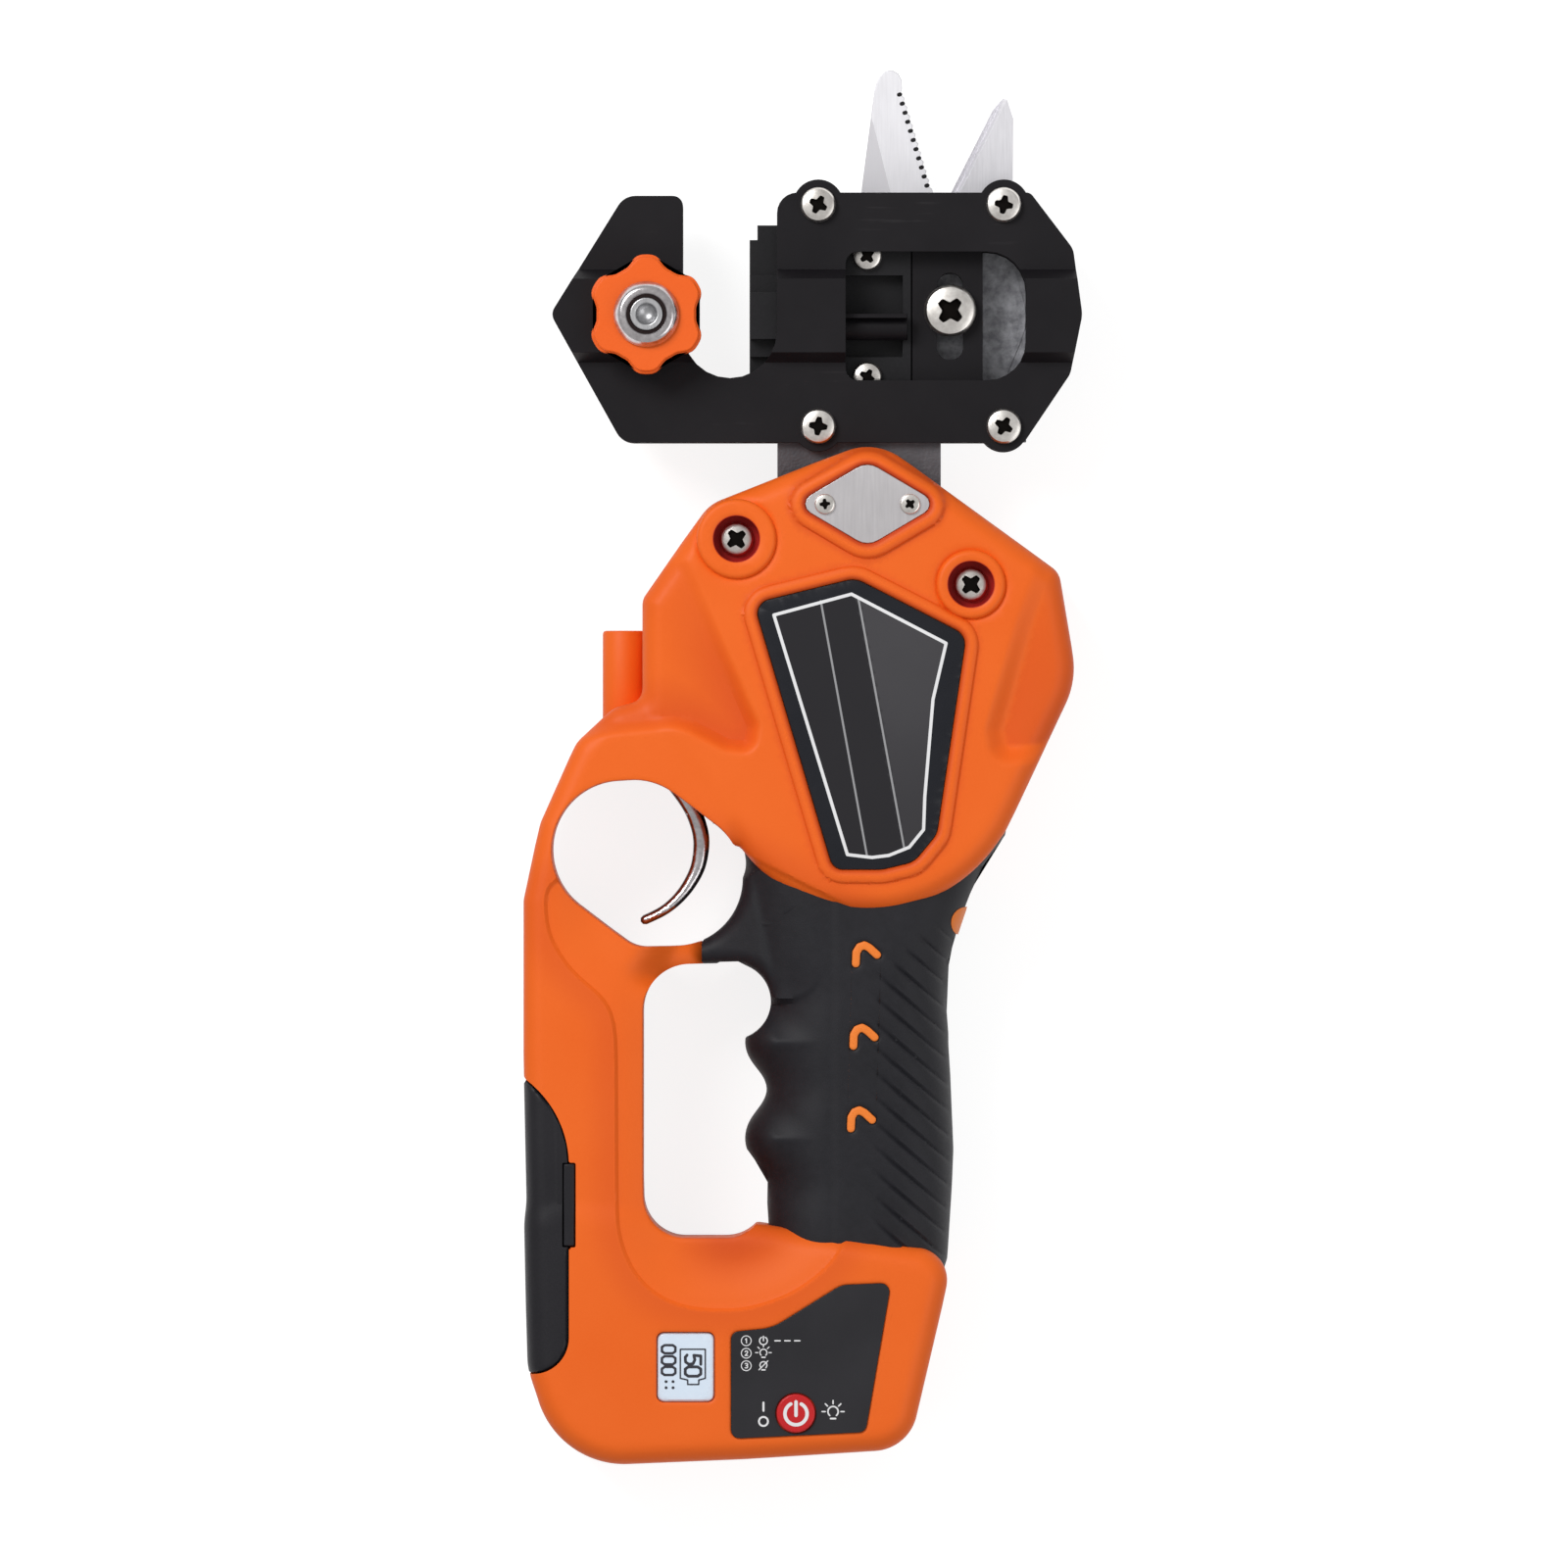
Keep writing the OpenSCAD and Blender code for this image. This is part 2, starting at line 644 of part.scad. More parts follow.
module latch_plan(grow = 0) {
    translate([latch_x0 - grow, latch_y - latch_len / 2 - grow])
        square([latch_x1 - latch_x0 + 2 * grow, latch_len + 2 * grow]);
}

// One half of the housing, before its own cuts
module shell_half() {
    difference() {
        union() {
            housing_form();
            grip_form(rubber_t);
            lamp_barrel(lamp_r, lamp_pos.y - 6, lamp_pos.y + lamp_len);
        }
        hand_openings();
        housing_room();
        neck_passage();
        lever_room();
        trigger_room();
        battery_room();
        lamp_barrel(lens_r + insert_gap, lamp_pos.y + 2, lamp_pos.y + lamp_len + over);
    }
}

// Sunken place with sloping sides
module scoop(corners) {
    hull() {
        slab(body_t - scoop_d, body_t - scoop_d + 0.02) offset(delta = -scoop_d)
            polygon(rounded(corners, 3));
        slab(body_t + over, body_t + over + 0.02) offset(delta = over) polygon(rounded(corners, 3));
    }
}

module bead(corners) {
    slab(body_t - 2 * over, body_t + bead_h) offset(delta = bead_w) polygon(rounded(corners, 4));
}

module front_shell() {
    color(orange) difference() {
        union() {
            difference() {
                intersection() {
                    shell_half();
                    front_half();
                }
                scoop(scoop_left);
                scoop(scoop_right);
            }
            bead(cover_corners);
            bead(name_corners);
            slab(body_t - cup_d - 4, body_t + bead_h) translate(boss_left) circle(r = boss_left_r);
            slab(body_t - cup_d - 4, body_t + bead_h) translate(boss_right) circle(r = boss_right_r);
        }
        for (p = [boss_left, boss_right]) translate([p.x, p.y, body_t + bead_h - cup_d])
            cylinder(r = cup_r, h = cup_d + over);
        for (p = [boss_left, boss_right]) translate([p.x, p.y, mid_z - over])
            cylinder(r = shell_screw_r + 0.2, h = body_t);
        slab(body_t - cover_t, body_t + over) offset(delta = insert_gap)
            polygon(rounded(cover_corners, 4));
        translate([0, 0, mid_z]) cylinder(r = 7.2, h = body_t);
        for (x = [-cover_screw_x, cover_screw_x]) translate([x, 0, body_t - 6])
            cylinder(r = cover_screw_r + 0.05, h = 6);
        slab(body_t - name_t, body_t + over) offset(delta = insert_gap)
            polygon(rounded(name_corners, 4));
        translate([lcd_pos.x - insert_gap, lcd_pos.y - insert_gap, mid_z])
            cube([lcd_size.x + 2 * insert_gap, lcd_size.y + 2 * insert_gap, body_t]);
        slab(body_t - panel_t, body_t + over) offset(delta = insert_gap)
            polygon(rounded(panel_corners, 4));
        translate([button_pos.x, button_pos.y, mid_z])
            cylinder(r = button_r + slide_gap + 0.2, h = body_t);
    }
}

module back_shell() {
    color(orange) difference() {
        intersection() {
            shell_half();
            back_half();
        }
        for (p = back_screw_spots) translate([p.x, p.y, -over])
            cylinder(r = back_head_r + 0.3, h = back_cup_d + over);
        for (p = back_screw_spots) translate([p.x, p.y, 0])
            cylinder(r = back_screw_r + 0.1, h = mid_z + over);
        for (p = [boss_left, boss_right]) translate([p.x, p.y, 8])
            cylinder(r = shell_screw_r + 0.05, h = mid_z);
    }
}

// Rubber on one half of the grip, clear of the hard shell
module grip_rubber() {
    difference() {
        union() {
            grip_form();
            for (i = [0, 1]) lobe([[grip_x0 + 7.6 - finger_swell, swell_y - i * finger_pitch, 7.6],
                [grip_x0 + 12, swell_y - i * finger_pitch, 9]], grip_half - 4, grip_edge);
            lobe(horn_spots, horn_half, edge_r);
        }
        grip_form(rubber_t - insert_gap / 2);
        lobe(upper_spots, mid_z, edge_r, insert_gap / 2);
        lobe(base_spots, mid_z, edge_r, insert_gap / 2);
        lobe(strut_spots, strut_half, edge_r, insert_gap / 2);
        lobe(guard_spots, guard_half, edge_r, insert_gap / 2);
        lipped_hole(finger_spots, grip_half - 0.3);
        translate([inlay_pos.x, inlay_pos.y, inlay_pos.z]) rotate([0, 50, 0])
            cylinder(r = inlay_r + insert_gap, h = 40, center = true);
    }
}

// Shallow slanting grooves that follow the rubber's surface
module groove_rows() {
    intersection() {
        slab(mid_z + 6, body_t) for (i = [0:groove_rows - 1])
            translate([grip_x + 17, gap_y1 + 6 - i * groove_pitch]) rotate(-38) translate([-15, 0])
                square([26, 1.2]);
        difference() {
            grip_form(-over);
            grip_form(groove_d);
        }
    }
}

module chevron_plan() {
    polygon([[-3, -3], [-3.6, -1.2], [0.4, 3], [2.2, 2.4], [3.4, -1.2], [1.4, -1], [0.4, 0.8]]);
}

module chevron_places() {
    for (i = [0:2]) translate([chevron_x - 0.5 * i, chevron_y - i * chevron_pitch]) children();
}

module front_grip() {
    color(rubber_black) difference() {
        intersection() {
            grip_rubber();
            front_half();
        }
        slab(mid_z + grip_half - chevron_t, body_t) chevron_places() offset(delta = insert_gap)
            chevron_plan();
        groove_rows();
    }
}

module back_grip() {
    color(rubber_black) intersection() {
        grip_rubber();
        back_half();
    }
}

module grip_chevrons() {
    color(orange) slab(mid_z + grip_half - chevron_t, mid_z + grip_half + 0.3) chevron_places()
        chevron_plan();
}

module thumb_inlay() {
    color(orange) intersection() {
        translate([inlay_pos.x, inlay_pos.y, inlay_pos.z]) rotate([0, 50, 0])
            cylinder(r = inlay_r, h = 40, center = true);
        difference() {
            grip_form(0.4);
            grip_form(rubber_t - insert_gap / 2);
        }
    }
}

// Pan-head screw standing on z = 0, shank downwards
module pan_screw(head_r, head_h, shank_r, shank_len) {
    rotate_extrude() intersection() {
        translate([0, head_h - 3 * head_r]) circle(r = 3 * head_r);
        square([head_r, head_h]);
    }
    translate([0, 0, -shank_len]) cylinder(r = shank_r, h = shank_len);
}

module cross_recess(r, depth) {
    for (a = [45, 135]) rotate([0, 0, a]) translate([-r, -r / 5, -depth])
        cube([2 * r, r / 2.5, depth + over]);
}

module headed_screw(head_r, head_h, shank_r, shank_len) {
    difference() {
        pan_screw(head_r, head_h, shank_r, shank_len);
        translate([0, 0, head_h]) cross_recess(head_r * 0.55, head_h * 0.55);
    }
}

module shell_screws() {
    color(nickel) for (p = [boss_left, boss_right]) translate([p.x, p.y, body_t + bead_h - cup_d])
        headed_screw(shell_head_r, 2.4, shell_screw_r, body_t + bead_h - cup_d - 9);
}

module back_screws() {
    color(nickel) for (p = back_screw_spots) translate([p.x, p.y, back_cup_d]) rotate([180, 0, 0])
        headed_screw(back_head_r, 2, back_screw_r, mid_z - back_cup_d - 1);
}

module cover_plate() {
    color("#c8c0c3") difference() {
        slab(body_t - cover_t, body_t) polygon(rounded(cover_corners, 4));
        for (x = [-cover_screw_x, cover_screw_x]) translate([x, 0, body_t - cover_t - over])
            cylinder(r = cover_screw_r + 0.1, h = cover_t + 2 * over);
    }
}

module cover_screws() {
    color(nickel) for (x = [-cover_screw_x, cover_screw_x]) translate([x, 0, body_t])
        headed_screw(cover_head_r, 1.1, cover_screw_r, cover_t + 4);
}

module nameplate() {
    color(dark) slab(body_t - name_t, body_t) polygon(rounded(name_corners, 4));
}

module lamp_lens() {
    color("#dfe6ea") lamp_barrel(lens_r, lamp_pos.y + lamp_len - lens_t - 0.6,
        lamp_pos.y + lamp_len - 0.6);
}

module lamp_led() {
    color("#e8e2c0") lamp_barrel(lens_r, lamp_pos.y + 2, lamp_pos.y + 6);
}

// Plate outline with ears round the four screws and the twig throat
module plate_blank(z0, z1) {
    translate([0, head_rise, 0]) difference() {
        union() {
            slab(z0, z1) polygon(rounded(plate_corners));
            for (p = screw_spots) translate([p.x, p.y, z0]) cylinder(r = ear_r, h = z1 - z0);
        }
        for (p = screw_spots) translate([p.x, p.y, z0 - over])
            cylinder(r = plate_screw_r + insert_gap, h = z1 - z0 + 2 * over);
        translate([anvil_x, anvil_y, z0 - over])
            cylinder(r = bolt_r + insert_gap, h = z1 - z0 + 2 * over);
        slab(z0 - over, z1 + over) polygon(rounded(window_corners));
    }
}

// Pressed section of the front plate, seen along the slider
module band_section() {
    w = band_w / 2;
    polygon([[-60, gap_z1], [-w + plate_t - band_slope, gap_z1], [-w + plate_t, band_in_z],
        [w - plate_t, band_in_z],
        [w - plate_t + band_slope, gap_z1], [60, gap_z1], [60, front_z], [w + band_slope, front_z],
            [w, band_out_z],
        [-w, band_out_z], [-w - band_slope, front_z], [-60, front_z]]);
}

module front_plate() {
    color(plate_black) intersection() {
        plate_blank(gap_z1 - over, band_out_z + over);
        translate([100, head_rise, 0]) rotate([90, 0, -90]) linear_extrude(200) band_section();
    }
}

module back_plate() {
    color(plate_black) plate_blank(back_plate_z, gap_z0);
}

module plate_standoffs() {
    color(steel) for (p = screw_spots) translate([p.x, p.y + head_rise, 0]) difference() {
        union() {
            translate([0, 0, gap_z0]) cylinder(r = standoff_r, h = plate_gap);
            translate([0, 0, back_plate_z]) cylinder(r = plate_screw_r, h = plate_t);
        }
        translate([0, 0, gap_z0 + 2]) cylinder(r = plate_screw_r + bore_gap, h = plate_gap);
    }
}

module plate_screws() {
    color(nickel) for (p = screw_spots) translate([p.x, p.y + head_rise, front_z])
        headed_screw(plate_head_r, plate_head_h, plate_screw_r, plate_t + plate_gap - 4);
}

// Drive plate of the slider, with the slot that the drive screw runs in
module slide_block() {
    h = slide_h / 2;
    color(plate_black) translate([0, head_rise, 0]) difference() {
        union() {
            slab(slide_z0, holder_z) translate([slide_x0, -h]) square([slide_x1 - slide_x0, slide_h]);
            slab(slide_z0, slide_z0 + slot_plate_t) translate([slot_plate_x, -h])
                square([slide_x1 - slot_plate_x, slide_h]);
        }
        slab(slide_z0 - over, slide_z0 + slot_plate_t + over) {
            translate([drive_x - drive_r - slot_play, -slot_half + drive_r])
                square([2 * (drive_r + slot_play), 2 * (slot_half - drive_r)]);
            for (y = [-1, 1]) translate([drive_x, y * (slot_half - drive_r)])
                circle(r = drive_r + slot_play);
        }
        for (y = [-1, 1]) translate([holder_screw_x, y * holder_screw_y, slide_z0 - over])
            cylinder(r = holder_screw_r + bore_gap, h = slide_base_t + 2 * over);
    }
}

// Graft blade between two stations, a straight sheet with an open bow in it
module graft_bow(x0, x1, grow = 0) {
    difference() {
        union() {
            translate([x0, head_rise - graft_t / 2 - grow, graft_z0 - grow])
                cube([x1 - x0, graft_t + 2 * grow, graft_z1 - graft_z0 + 2 * grow]);
            along_slider(x0, x1) circle(r = graft_r + grow);
        }
        along_slider(x0 - over, x1 + over) circle(r = graft_r - graft_t - grow);
        translate([x0 - over, head_rise - over, graft_bow_z - 1.2 + grow])
            cube([x1 - x0 + 2 * over, 2 * over, 2.4 - 2 * grow]);
    }
}

module along_slider(x0, x1) {
    translate([x0, head_rise - graft_r + graft_t / 2, graft_bow_z]) rotate([90, 0, 90])
        linear_extrude(x1 - x0) children();
}

module blade_holder() {
    h = slide_h / 2;
    color(dark) difference() {
        translate([0, head_rise, 0]) union() {
            slab(holder_z, ear_z) translate([slide_x0, -h]) square([holder_x1 - slide_x0, slide_h]);
            slab(ear_z - over, gap_z1 - slide_gap) translate([slide_x0, -pocket_half])
                square([pocket_x - slide_x0, 2 * pocket_half]);
            slab(ear_z - over, land_z) translate([slide_x0, -land_half])
                square([pocket_x - slide_x0, 2 * land_half]);
            slab(holder_z, ear_z) translate([slide_x0 + 1.9, h - over])
                square([holder_x1 - slide_x0 - 6, 3.6 + over]);
        }
        slab(graft_z0 - 0.4, band_out_z) translate([pocket_x, head_rise - pocket_half])
            square([graft_back_x - 1 - pocket_x, 2 * pocket_half]);
        graft_bow(slide_x0 - over, graft_back_x + insert_gap, insert_gap);
        for (y = [-1, 1]) translate([holder_screw_x, head_rise + y * holder_screw_y, holder_z - over])
            cylinder(r = holder_screw_r + insert_gap, h = ear_z);
    }
}

module holder_screws() {
    color(nickel) for (y = [-1, 1]) translate([holder_screw_x, head_rise + y * holder_screw_y, ear_z])
        headed_screw(holder_head_r, plate_head_h, holder_screw_r, ear_z - slide_z0);
}

module graft_blade() {
    color(steel) graft_bow(slide_x0, graft_back_x);
}

module drive_screw() {
    color(nickel) translate([drive_x, head_rise + drive_y, slide_z0 + slot_plate_t + slide_gap])
        difference() {
        pan_screw(drive_head_r, 4.2, drive_r, slide_z0 + slot_plate_t + slide_gap - lever_top);
        translate([0, 0, 4.2]) cross_recess(3.4, 2.2);
    }
}

// Across the jaw: full height between the plates, narrower where it enters the raised band
module anvil_section() {
    low = anvil_h / 2;
    high = band_w / 2 - plate_t - insert_gap;
    polygon([[-low, gap_z0], [low, gap_z0], [low, gap_z1],
        [high, anvil_z1], [-high, anvil_z1], [-low, gap_z1]]);
}

module anvil() {
    color("#e8e6df") difference() {
        translate([throat_x + anvil_face, head_rise, 0]) rotate([90, 0, -90])
            linear_extrude(anvil_w) anvil_section();
        translate([anvil_x, head_rise + anvil_y, 0]) cylinder(r = bolt_r + insert_gap, h = 2 * body_t);
    }
}

module anvil_bolt() {
    color(steel) translate([anvil_x, head_rise + anvil_y, 0]) difference() {
        union() {
            translate([0, 0, back_plate_z - bolt_head_h]) cylinder(r = 7, h = bolt_head_h, $fn = 6);
            translate([0, 0, back_plate_z]) cylinder(r = bolt_r, h = bolt_end_z - back_plate_z);
        }
        translate([0, 0, bolt_end_z]) sphere(r = 2.6);
    }
}

module knob_plan(inset = 0) {
    wave = (knob_r - knob_waist) / 2;
    polygon([for (a = [0:3:357]) let(c = cos(knob_lobes * (a - 90)))
        (knob_r - inset - wave + wave * c * (3 - c * c) / 2) * [cos(a), sin(a)]]);
}

module anvil_knob() {
    color(orange) translate([anvil_x, head_rise + anvil_y, 0]) difference() {
        union() {
            slab(knob_z, knob_z + knob_t - 1) knob_plan();
            slab(knob_z + knob_t - 1 - 0.01, knob_z + knob_t) knob_plan(0.7);
        }
        translate([0, 0, knob_z - over]) cylinder(r = bolt_r + bore_gap, h = knob_t + 2 * over);
        translate([0, 0, knob_z + knob_t - 4]) cylinder(r = nut_r - 1.6, h = 5);
    }
}

// Flanged nut pressed into the knob
module knob_nut() {
    color(steel) translate([anvil_x, head_rise + anvil_y, knob_z + knob_t]) difference() {
        rotate_extrude() polygon([[0, -4], [nut_r - 1.6, -4], [nut_r - 1.6, 0], [nut_r, 0],
            [nut_r, 0.8], [6.4, 1.6], [5.6, nut_h - 0.4], [5, nut_h], [0, nut_h]]);
        translate([0, 0, -5]) cylinder(r = bolt_r + bore_gap, h = 5 + nut_h + over);
    }
}

blade_heel = [21.2, 77.8];
facet_top = [1.5, 94];
facet_turn = -76;
facet_tilt = 17;
facet_len = 22;
edge_tilt = 16;

// Saw edge from the heel to the tip of the fixed blade
saw_low = [16, blade_heel.y];
saw_high = [8.6, fixed_reach - 4.6];
saw_depth = 0.8;
saw_steps = 2 * saw_teeth;

module fixed_blade_blank() {
    along = unit(saw_high - saw_low);
    out = [along.y, -along.x];
    saw = [for (i = [0:saw_steps])
        saw_low + (saw_high - saw_low) * i / saw_steps - (i % 2) * saw_depth * out];
    slab(fixed_z, fixed_z + blade_t) polygon(concat([[-8, 0], [8, 0], [12, 24], [21, 58]], saw,
        [[8.5, fixed_reach - 2.4], [7.7, fixed_reach - 0.9], [6.2, fixed_reach], [4.6, fixed_reach - 0.3],
            [3.2, fixed_reach - 1.5], [2.3, fixed_reach - 3.3], [1.9, fixed_reach - 4.6],
            [-1.3, blade_heel.y], [-4, 30]]));
    translate([0, 0, fixed_z]) cylinder(r = hub_r - 0.5, h = blade_t);
}

module fixed_blade() {
    color(steel) difference() {
        fixed_blade_blank();
        translate([0, 0, fixed_z - over]) cylinder(r = pivot_r + insert_gap, h = blade_t + 2 * over);
        translate([blade_screw_pos.x, blade_screw_pos.y, fixed_z - over])
            cylinder(r = 2.1, h = blade_t + 2 * over);
        translate([facet_top.x, facet_top.y, fixed_z + blade_t]) rotate([0, 0, facet_turn])
            rotate([facet_tilt, 0, 0]) translate([-facet_len, -20, 0]) cube([2 * facet_len, 20, 6]);
    }
}

blade_screw_pos = [-2, 12];

module blade_screw() {
    color(nickel) translate([blade_screw_pos.x, blade_screw_pos.y, cheek_z])
        cylinder(r = 2, h = fixed_z + blade_t - cheek_z);
}

module moving_blade_blank() {
    slab(lever_z, lever_top) circle(r = hub_r);
    slab(lever_z, lever_top) blob([[0, 0, 8], [12, 28, 8.5]]);
    slab(lever_z, lever_top) blob([[12, 28, 8.6], [22.5, head_rise - 10, 12.5],
        [24.6, head_rise, 14.4], [25, 62, 10]]);
    slab(lever_z, lever_top) polygon([[15.2, 66], blade_heel, [30.8, moving_reach - 3], [33.4, moving_reach],
        [34.4, moving_reach - 0.4], [35.9, moving_reach - 5], [35.6, 60], [25, 50]]);
    slab(lever_z, lever_top) intersection() {
        circle(r = sector_rim_r);
        polygon([[0, 4], [-30, -25], [-30, -40], [30, -40], [30, -25]]);
    }
}

module moving_blade() {
    color(steel) difference() {
        moving_blade_blank();
        translate([0, 0, lever_z - over]) cylinder(r = pivot_r + bore_gap, h = blade_t + 2 * over);
        translate([blade_heel.x, blade_heel.y, lever_z + 0.5]) rotate([0, 0, 63.4]) rotate([edge_tilt, 0, 0])
            translate([-14, -1, 0]) cube([60, 20, 8]);
    }
}

// Bevel tooth between two cone shares, outer end first
module tooth(pts) {
    polyhedron(points = pts, faces = [[3, 2, 1, 0], [4, 5, 6, 7], [0, 1, 5, 4], [1, 2, 6, 5],
        [2, 3, 7, 6], [3, 0, 4, 7]]);
}

sector_root = 2.4;
sector_tip = 0.5;
pinion_root = 11;
pinion_tip = 1.2;

module sector_gear() {
    low = -tooth_down;
    sink = low - 0.3;
    color(cast_gray) translate([0, 0, mid_z]) union() {
        rotate([0, 0, -90 - sector_side * sector_step])
            rotate_extrude(angle = 2 * sector_side * sector_step, $fn = 96)
            polygon([[gear_inner * sector_pitch_r - 1, lever_top - mid_z],
                [sector_rim_r, lever_top - mid_z],
                [sector_point(0, low, 1).x, sector_point(0, low, 1).z],
                [sector_point(0, low, gear_inner).x, sector_point(0, low, gear_inner).z],
                [gear_inner * sector_pitch_r - 1, sector_point(0, low, gear_inner).z]]);
        for (i = [-sector_side:sector_side - 1]) let(c = -90 + (i + 0.5) * sector_step)
            tooth([for (k = [0.995, gear_inner + 0.005]) each [sector_point(c - sector_root, sink, k),
                sector_point(c + sector_root, sink, k),
                sector_point(c + sector_tip, tooth_up, k), sector_point(c - sector_tip, tooth_up, k)]]);
    }
}

module pinion_blank(k0, k1) {
    p0 = pinion_point(0, -tooth_down, k0);
    p1 = pinion_point(0, -tooth_down, k1);
    translate([0, p0.y, 0]) rotate([-90, 0, 0]) cylinder(r1 = -p0.z, r2 = -p1.z, h = p1.y - p0.y);
}

module bevel_pinion() {
    sink = -tooth_down - 0.3;
    step = 360 / pinion_teeth;
    color(cast_gray) translate([0, 0, mid_z]) union() {
        pinion_blank(1, gear_inner);
        for (i = [0:pinion_teeth - 1]) let(c = i * step)
            tooth([for (k = [0.995, gear_inner + 0.005]) each [pinion_point(c + pinion_root, sink, k),
                pinion_point(c - pinion_root, sink, k),
                pinion_point(c - pinion_tip, tooth_up, k), pinion_point(c + pinion_tip, tooth_up, k)]]);
        translate([0, pinion_point(0, -tooth_down, 1).y + 0.1, 0]) rotate([90, 0, 0])
            cylinder(r = shaft_r, h = pinion_point(0, -tooth_down, 1).y + 0.1 - flange_y + flange_t);
    }
}

module pinion_bearing() {
    color(steel) translate([0, flange_y, mid_z]) rotate([90, 0, 0]) difference() {
        cylinder(r = bearing_r, h = flange_t);
        translate([0, 0, -over]) cylinder(r = shaft_r + bore_gap, h = flange_t + 2 * over);
    }
}

// Neck casting: carries the head plates, the blade pivot and the gearbox flange
module gear_head() {
    color(cast_gray) difference() {
        union() {
            slab(gap_z0, gap_z1) translate([plate_screw_x - 5.5, bar_y]) square([screw_dx + 11, 11]);
            slab(gap_z0, gap_z1) translate([neck_x, neck_y]) square([neck_w, bar_y + 1 - neck_y]);
            slab(back_plate_z, gap_z1) translate([neck_x, neck_y]) square([neck_w, neck_end - neck_y]);
            slab(cheek_z, fixed_z) translate([neck_x, neck_y - 3]) square([neck_w, bar_y + 4 - neck_y]);
            slab(cheek_z, gap_z1) translate([neck_x, neck_y + 2]) square([9, neck_end - neck_y - 2]);
            for (x = [neck_x + 2, neck_x + neck_w - leg_w]) slab(leg_z, gap_z1)
                translate([x, flange_y - 0.5]) square([leg_w, neck_y + 8 - flange_y]);
            translate([0, flange_y, mid_z]) rotate([90, 0, 0]) cylinder(r = flange_r, h = flange_t);
        }
        translate([0, flange_y + over, mid_z]) rotate([90, 0, 0])
            cylinder(r = bearing_r + 0.02, h = flange_t + 2 * over);
        translate([0, 0, cheek_z - over]) cylinder(r = pivot_r + insert_gap, h = body_t);
        translate([screw_spots[0].x, screw_spots[0].y + head_rise, back_plate_z - over])
            cylinder(r = ear_r + insert_gap, h = plate_t + over);
        slab(back_plate_z - over, leg_z) intersection() {
            circle(r = sector_rim_r + 1.4);
            translate([-30, -39]) square([60, 32]);
        }
        for (i = [0, 1]) translate([screw_spots[i].x, screw_spots[i].y + head_rise, gap_z0 - over])
            cylinder(r = standoff_r + insert_gap, h = plate_gap + 2 * over);
        translate([blade_screw_pos.x, blade_screw_pos.y, cheek_z - over])
            cylinder(r = 2.1, h = cheek_t + 2 * over);
    }
}

module pivot_bolt() {
    color(steel) union() {
        translate([0, 0, cheek_z]) cylinder(r = pivot_r, h = gap_z1 - cheek_z + over);
        translate([0, 0, gap_z1]) cylinder(r = 6.5, h = 4, $fn = 6);
    }
}

module pivot_nut() {
    color(steel) difference() {
        translate([0, 0, cheek_z - 1.4]) cylinder(r = 7, h = 1.4);
        translate([0, 0, cheek_z - 2]) cylinder(r = 2, h = 3);
    }
}

module gearbox() {
    color("#6b6d72") translate([0, flange_y - flange_t, mid_z]) rotate([90, 0, 0]) difference() {
        union() {
            cylinder(r = gearbox_r, h = gearbox_len - flange_t);
            for (z = [5, 12, 19]) translate([0, 0, z]) cylinder(r = gearbox_r + 0.6, h = 1.4);
        }
        translate([0, 0, -over]) cylinder(r = shaft_r + 0.4, h = 6);
    }
}

module motor() {
    color(steel) translate([0, flange_y - gearbox_len, mid_z]) rotate([90, 0, 0]) union() {
        cylinder(r = motor_r, h = motor_len - 6);
        translate([0, 0, motor_len - 6]) cylinder(r = motor_r - 1.4, h = 6);
    }
}

module trigger_plan() {
    difference() {
        union() {
            difference() {
                translate([trigger_out.x, trigger_out.y]) circle(r = trigger_out.z);
                translate([trigger_in.x, trigger_in.y]) circle(r = trigger_in.z);
                translate([trigger_in.x, trigger_in.y]) rotate([0, 0, trigger_top])
                    translate([-60, 0]) square([120, 60]);
                translate([trigger_in.x, trigger_in.y]) rotate([0, 0, trigger_tip])
                    translate([-60, -60]) square([120, 60]);
            }
            translate(trigger_pivot) circle(r = trigger_boss_r);
        }
        translate(trigger_pivot) circle(r = trigger_pin_r + bore_gap);
    }
}

module trigger() {
    color(steel) slab(mid_z - trigger_w / 2, mid_z + trigger_w / 2) trigger_plan();
}

module trigger_pin() {
    color(steel) translate([trigger_pivot.x, trigger_pivot.y, mid_z - pin_half])
        cylinder(r = trigger_pin_r, h = 2 * pin_half);
}

// Coil round the trigger pin, as one tube
function spring_point(i, j) = let(
    a = 360 * i / spring_rings,
    b = 360 * j / spring_sides,
    r = spring_r + spring_wire * cos(b))
    [trigger_pivot.x + r * cos(a), trigger_pivot.y + r * sin(a),
        spring_z + spring_pitch * i / spring_rings + spring_wire * sin(b)];

module trigger_spring() {
    n = spring_turns * spring_rings;
    s = spring_sides;
    echo(trigger_spring_gap = spring_pitch - 2 * spring_wire);
    color(steel) polyhedron(
        points = [for (i = [0:n], j = [0:s - 1]) spring_point(i, j)],
        faces = concat(
            [for (i = [0:n - 1], j = [0:s - 1]) each [
                [i * s + j, (i + 1) * s + j, i * s + (j + 1) % s],
                [i * s + (j + 1) % s, (i + 1) * s + j, (i + 1) * s + (j + 1) % s]]],
            [[for (j = [0:s - 1]) j]],
            [[for (j = [s - 1:-1:0]) n * s + j]]));
}

module micro_switch() {
    color(dark) difference() {
        translate([switch_x, plunger_y - switch_size.y / 2, mid_z - switch_size.z / 2])
            cube(switch_size);
        translate([switch_x - over, plunger_y, mid_z]) rotate([0, 90, 0])
            cylinder(r = plunger_r + bore_gap, h = 6 + over);
    }
}

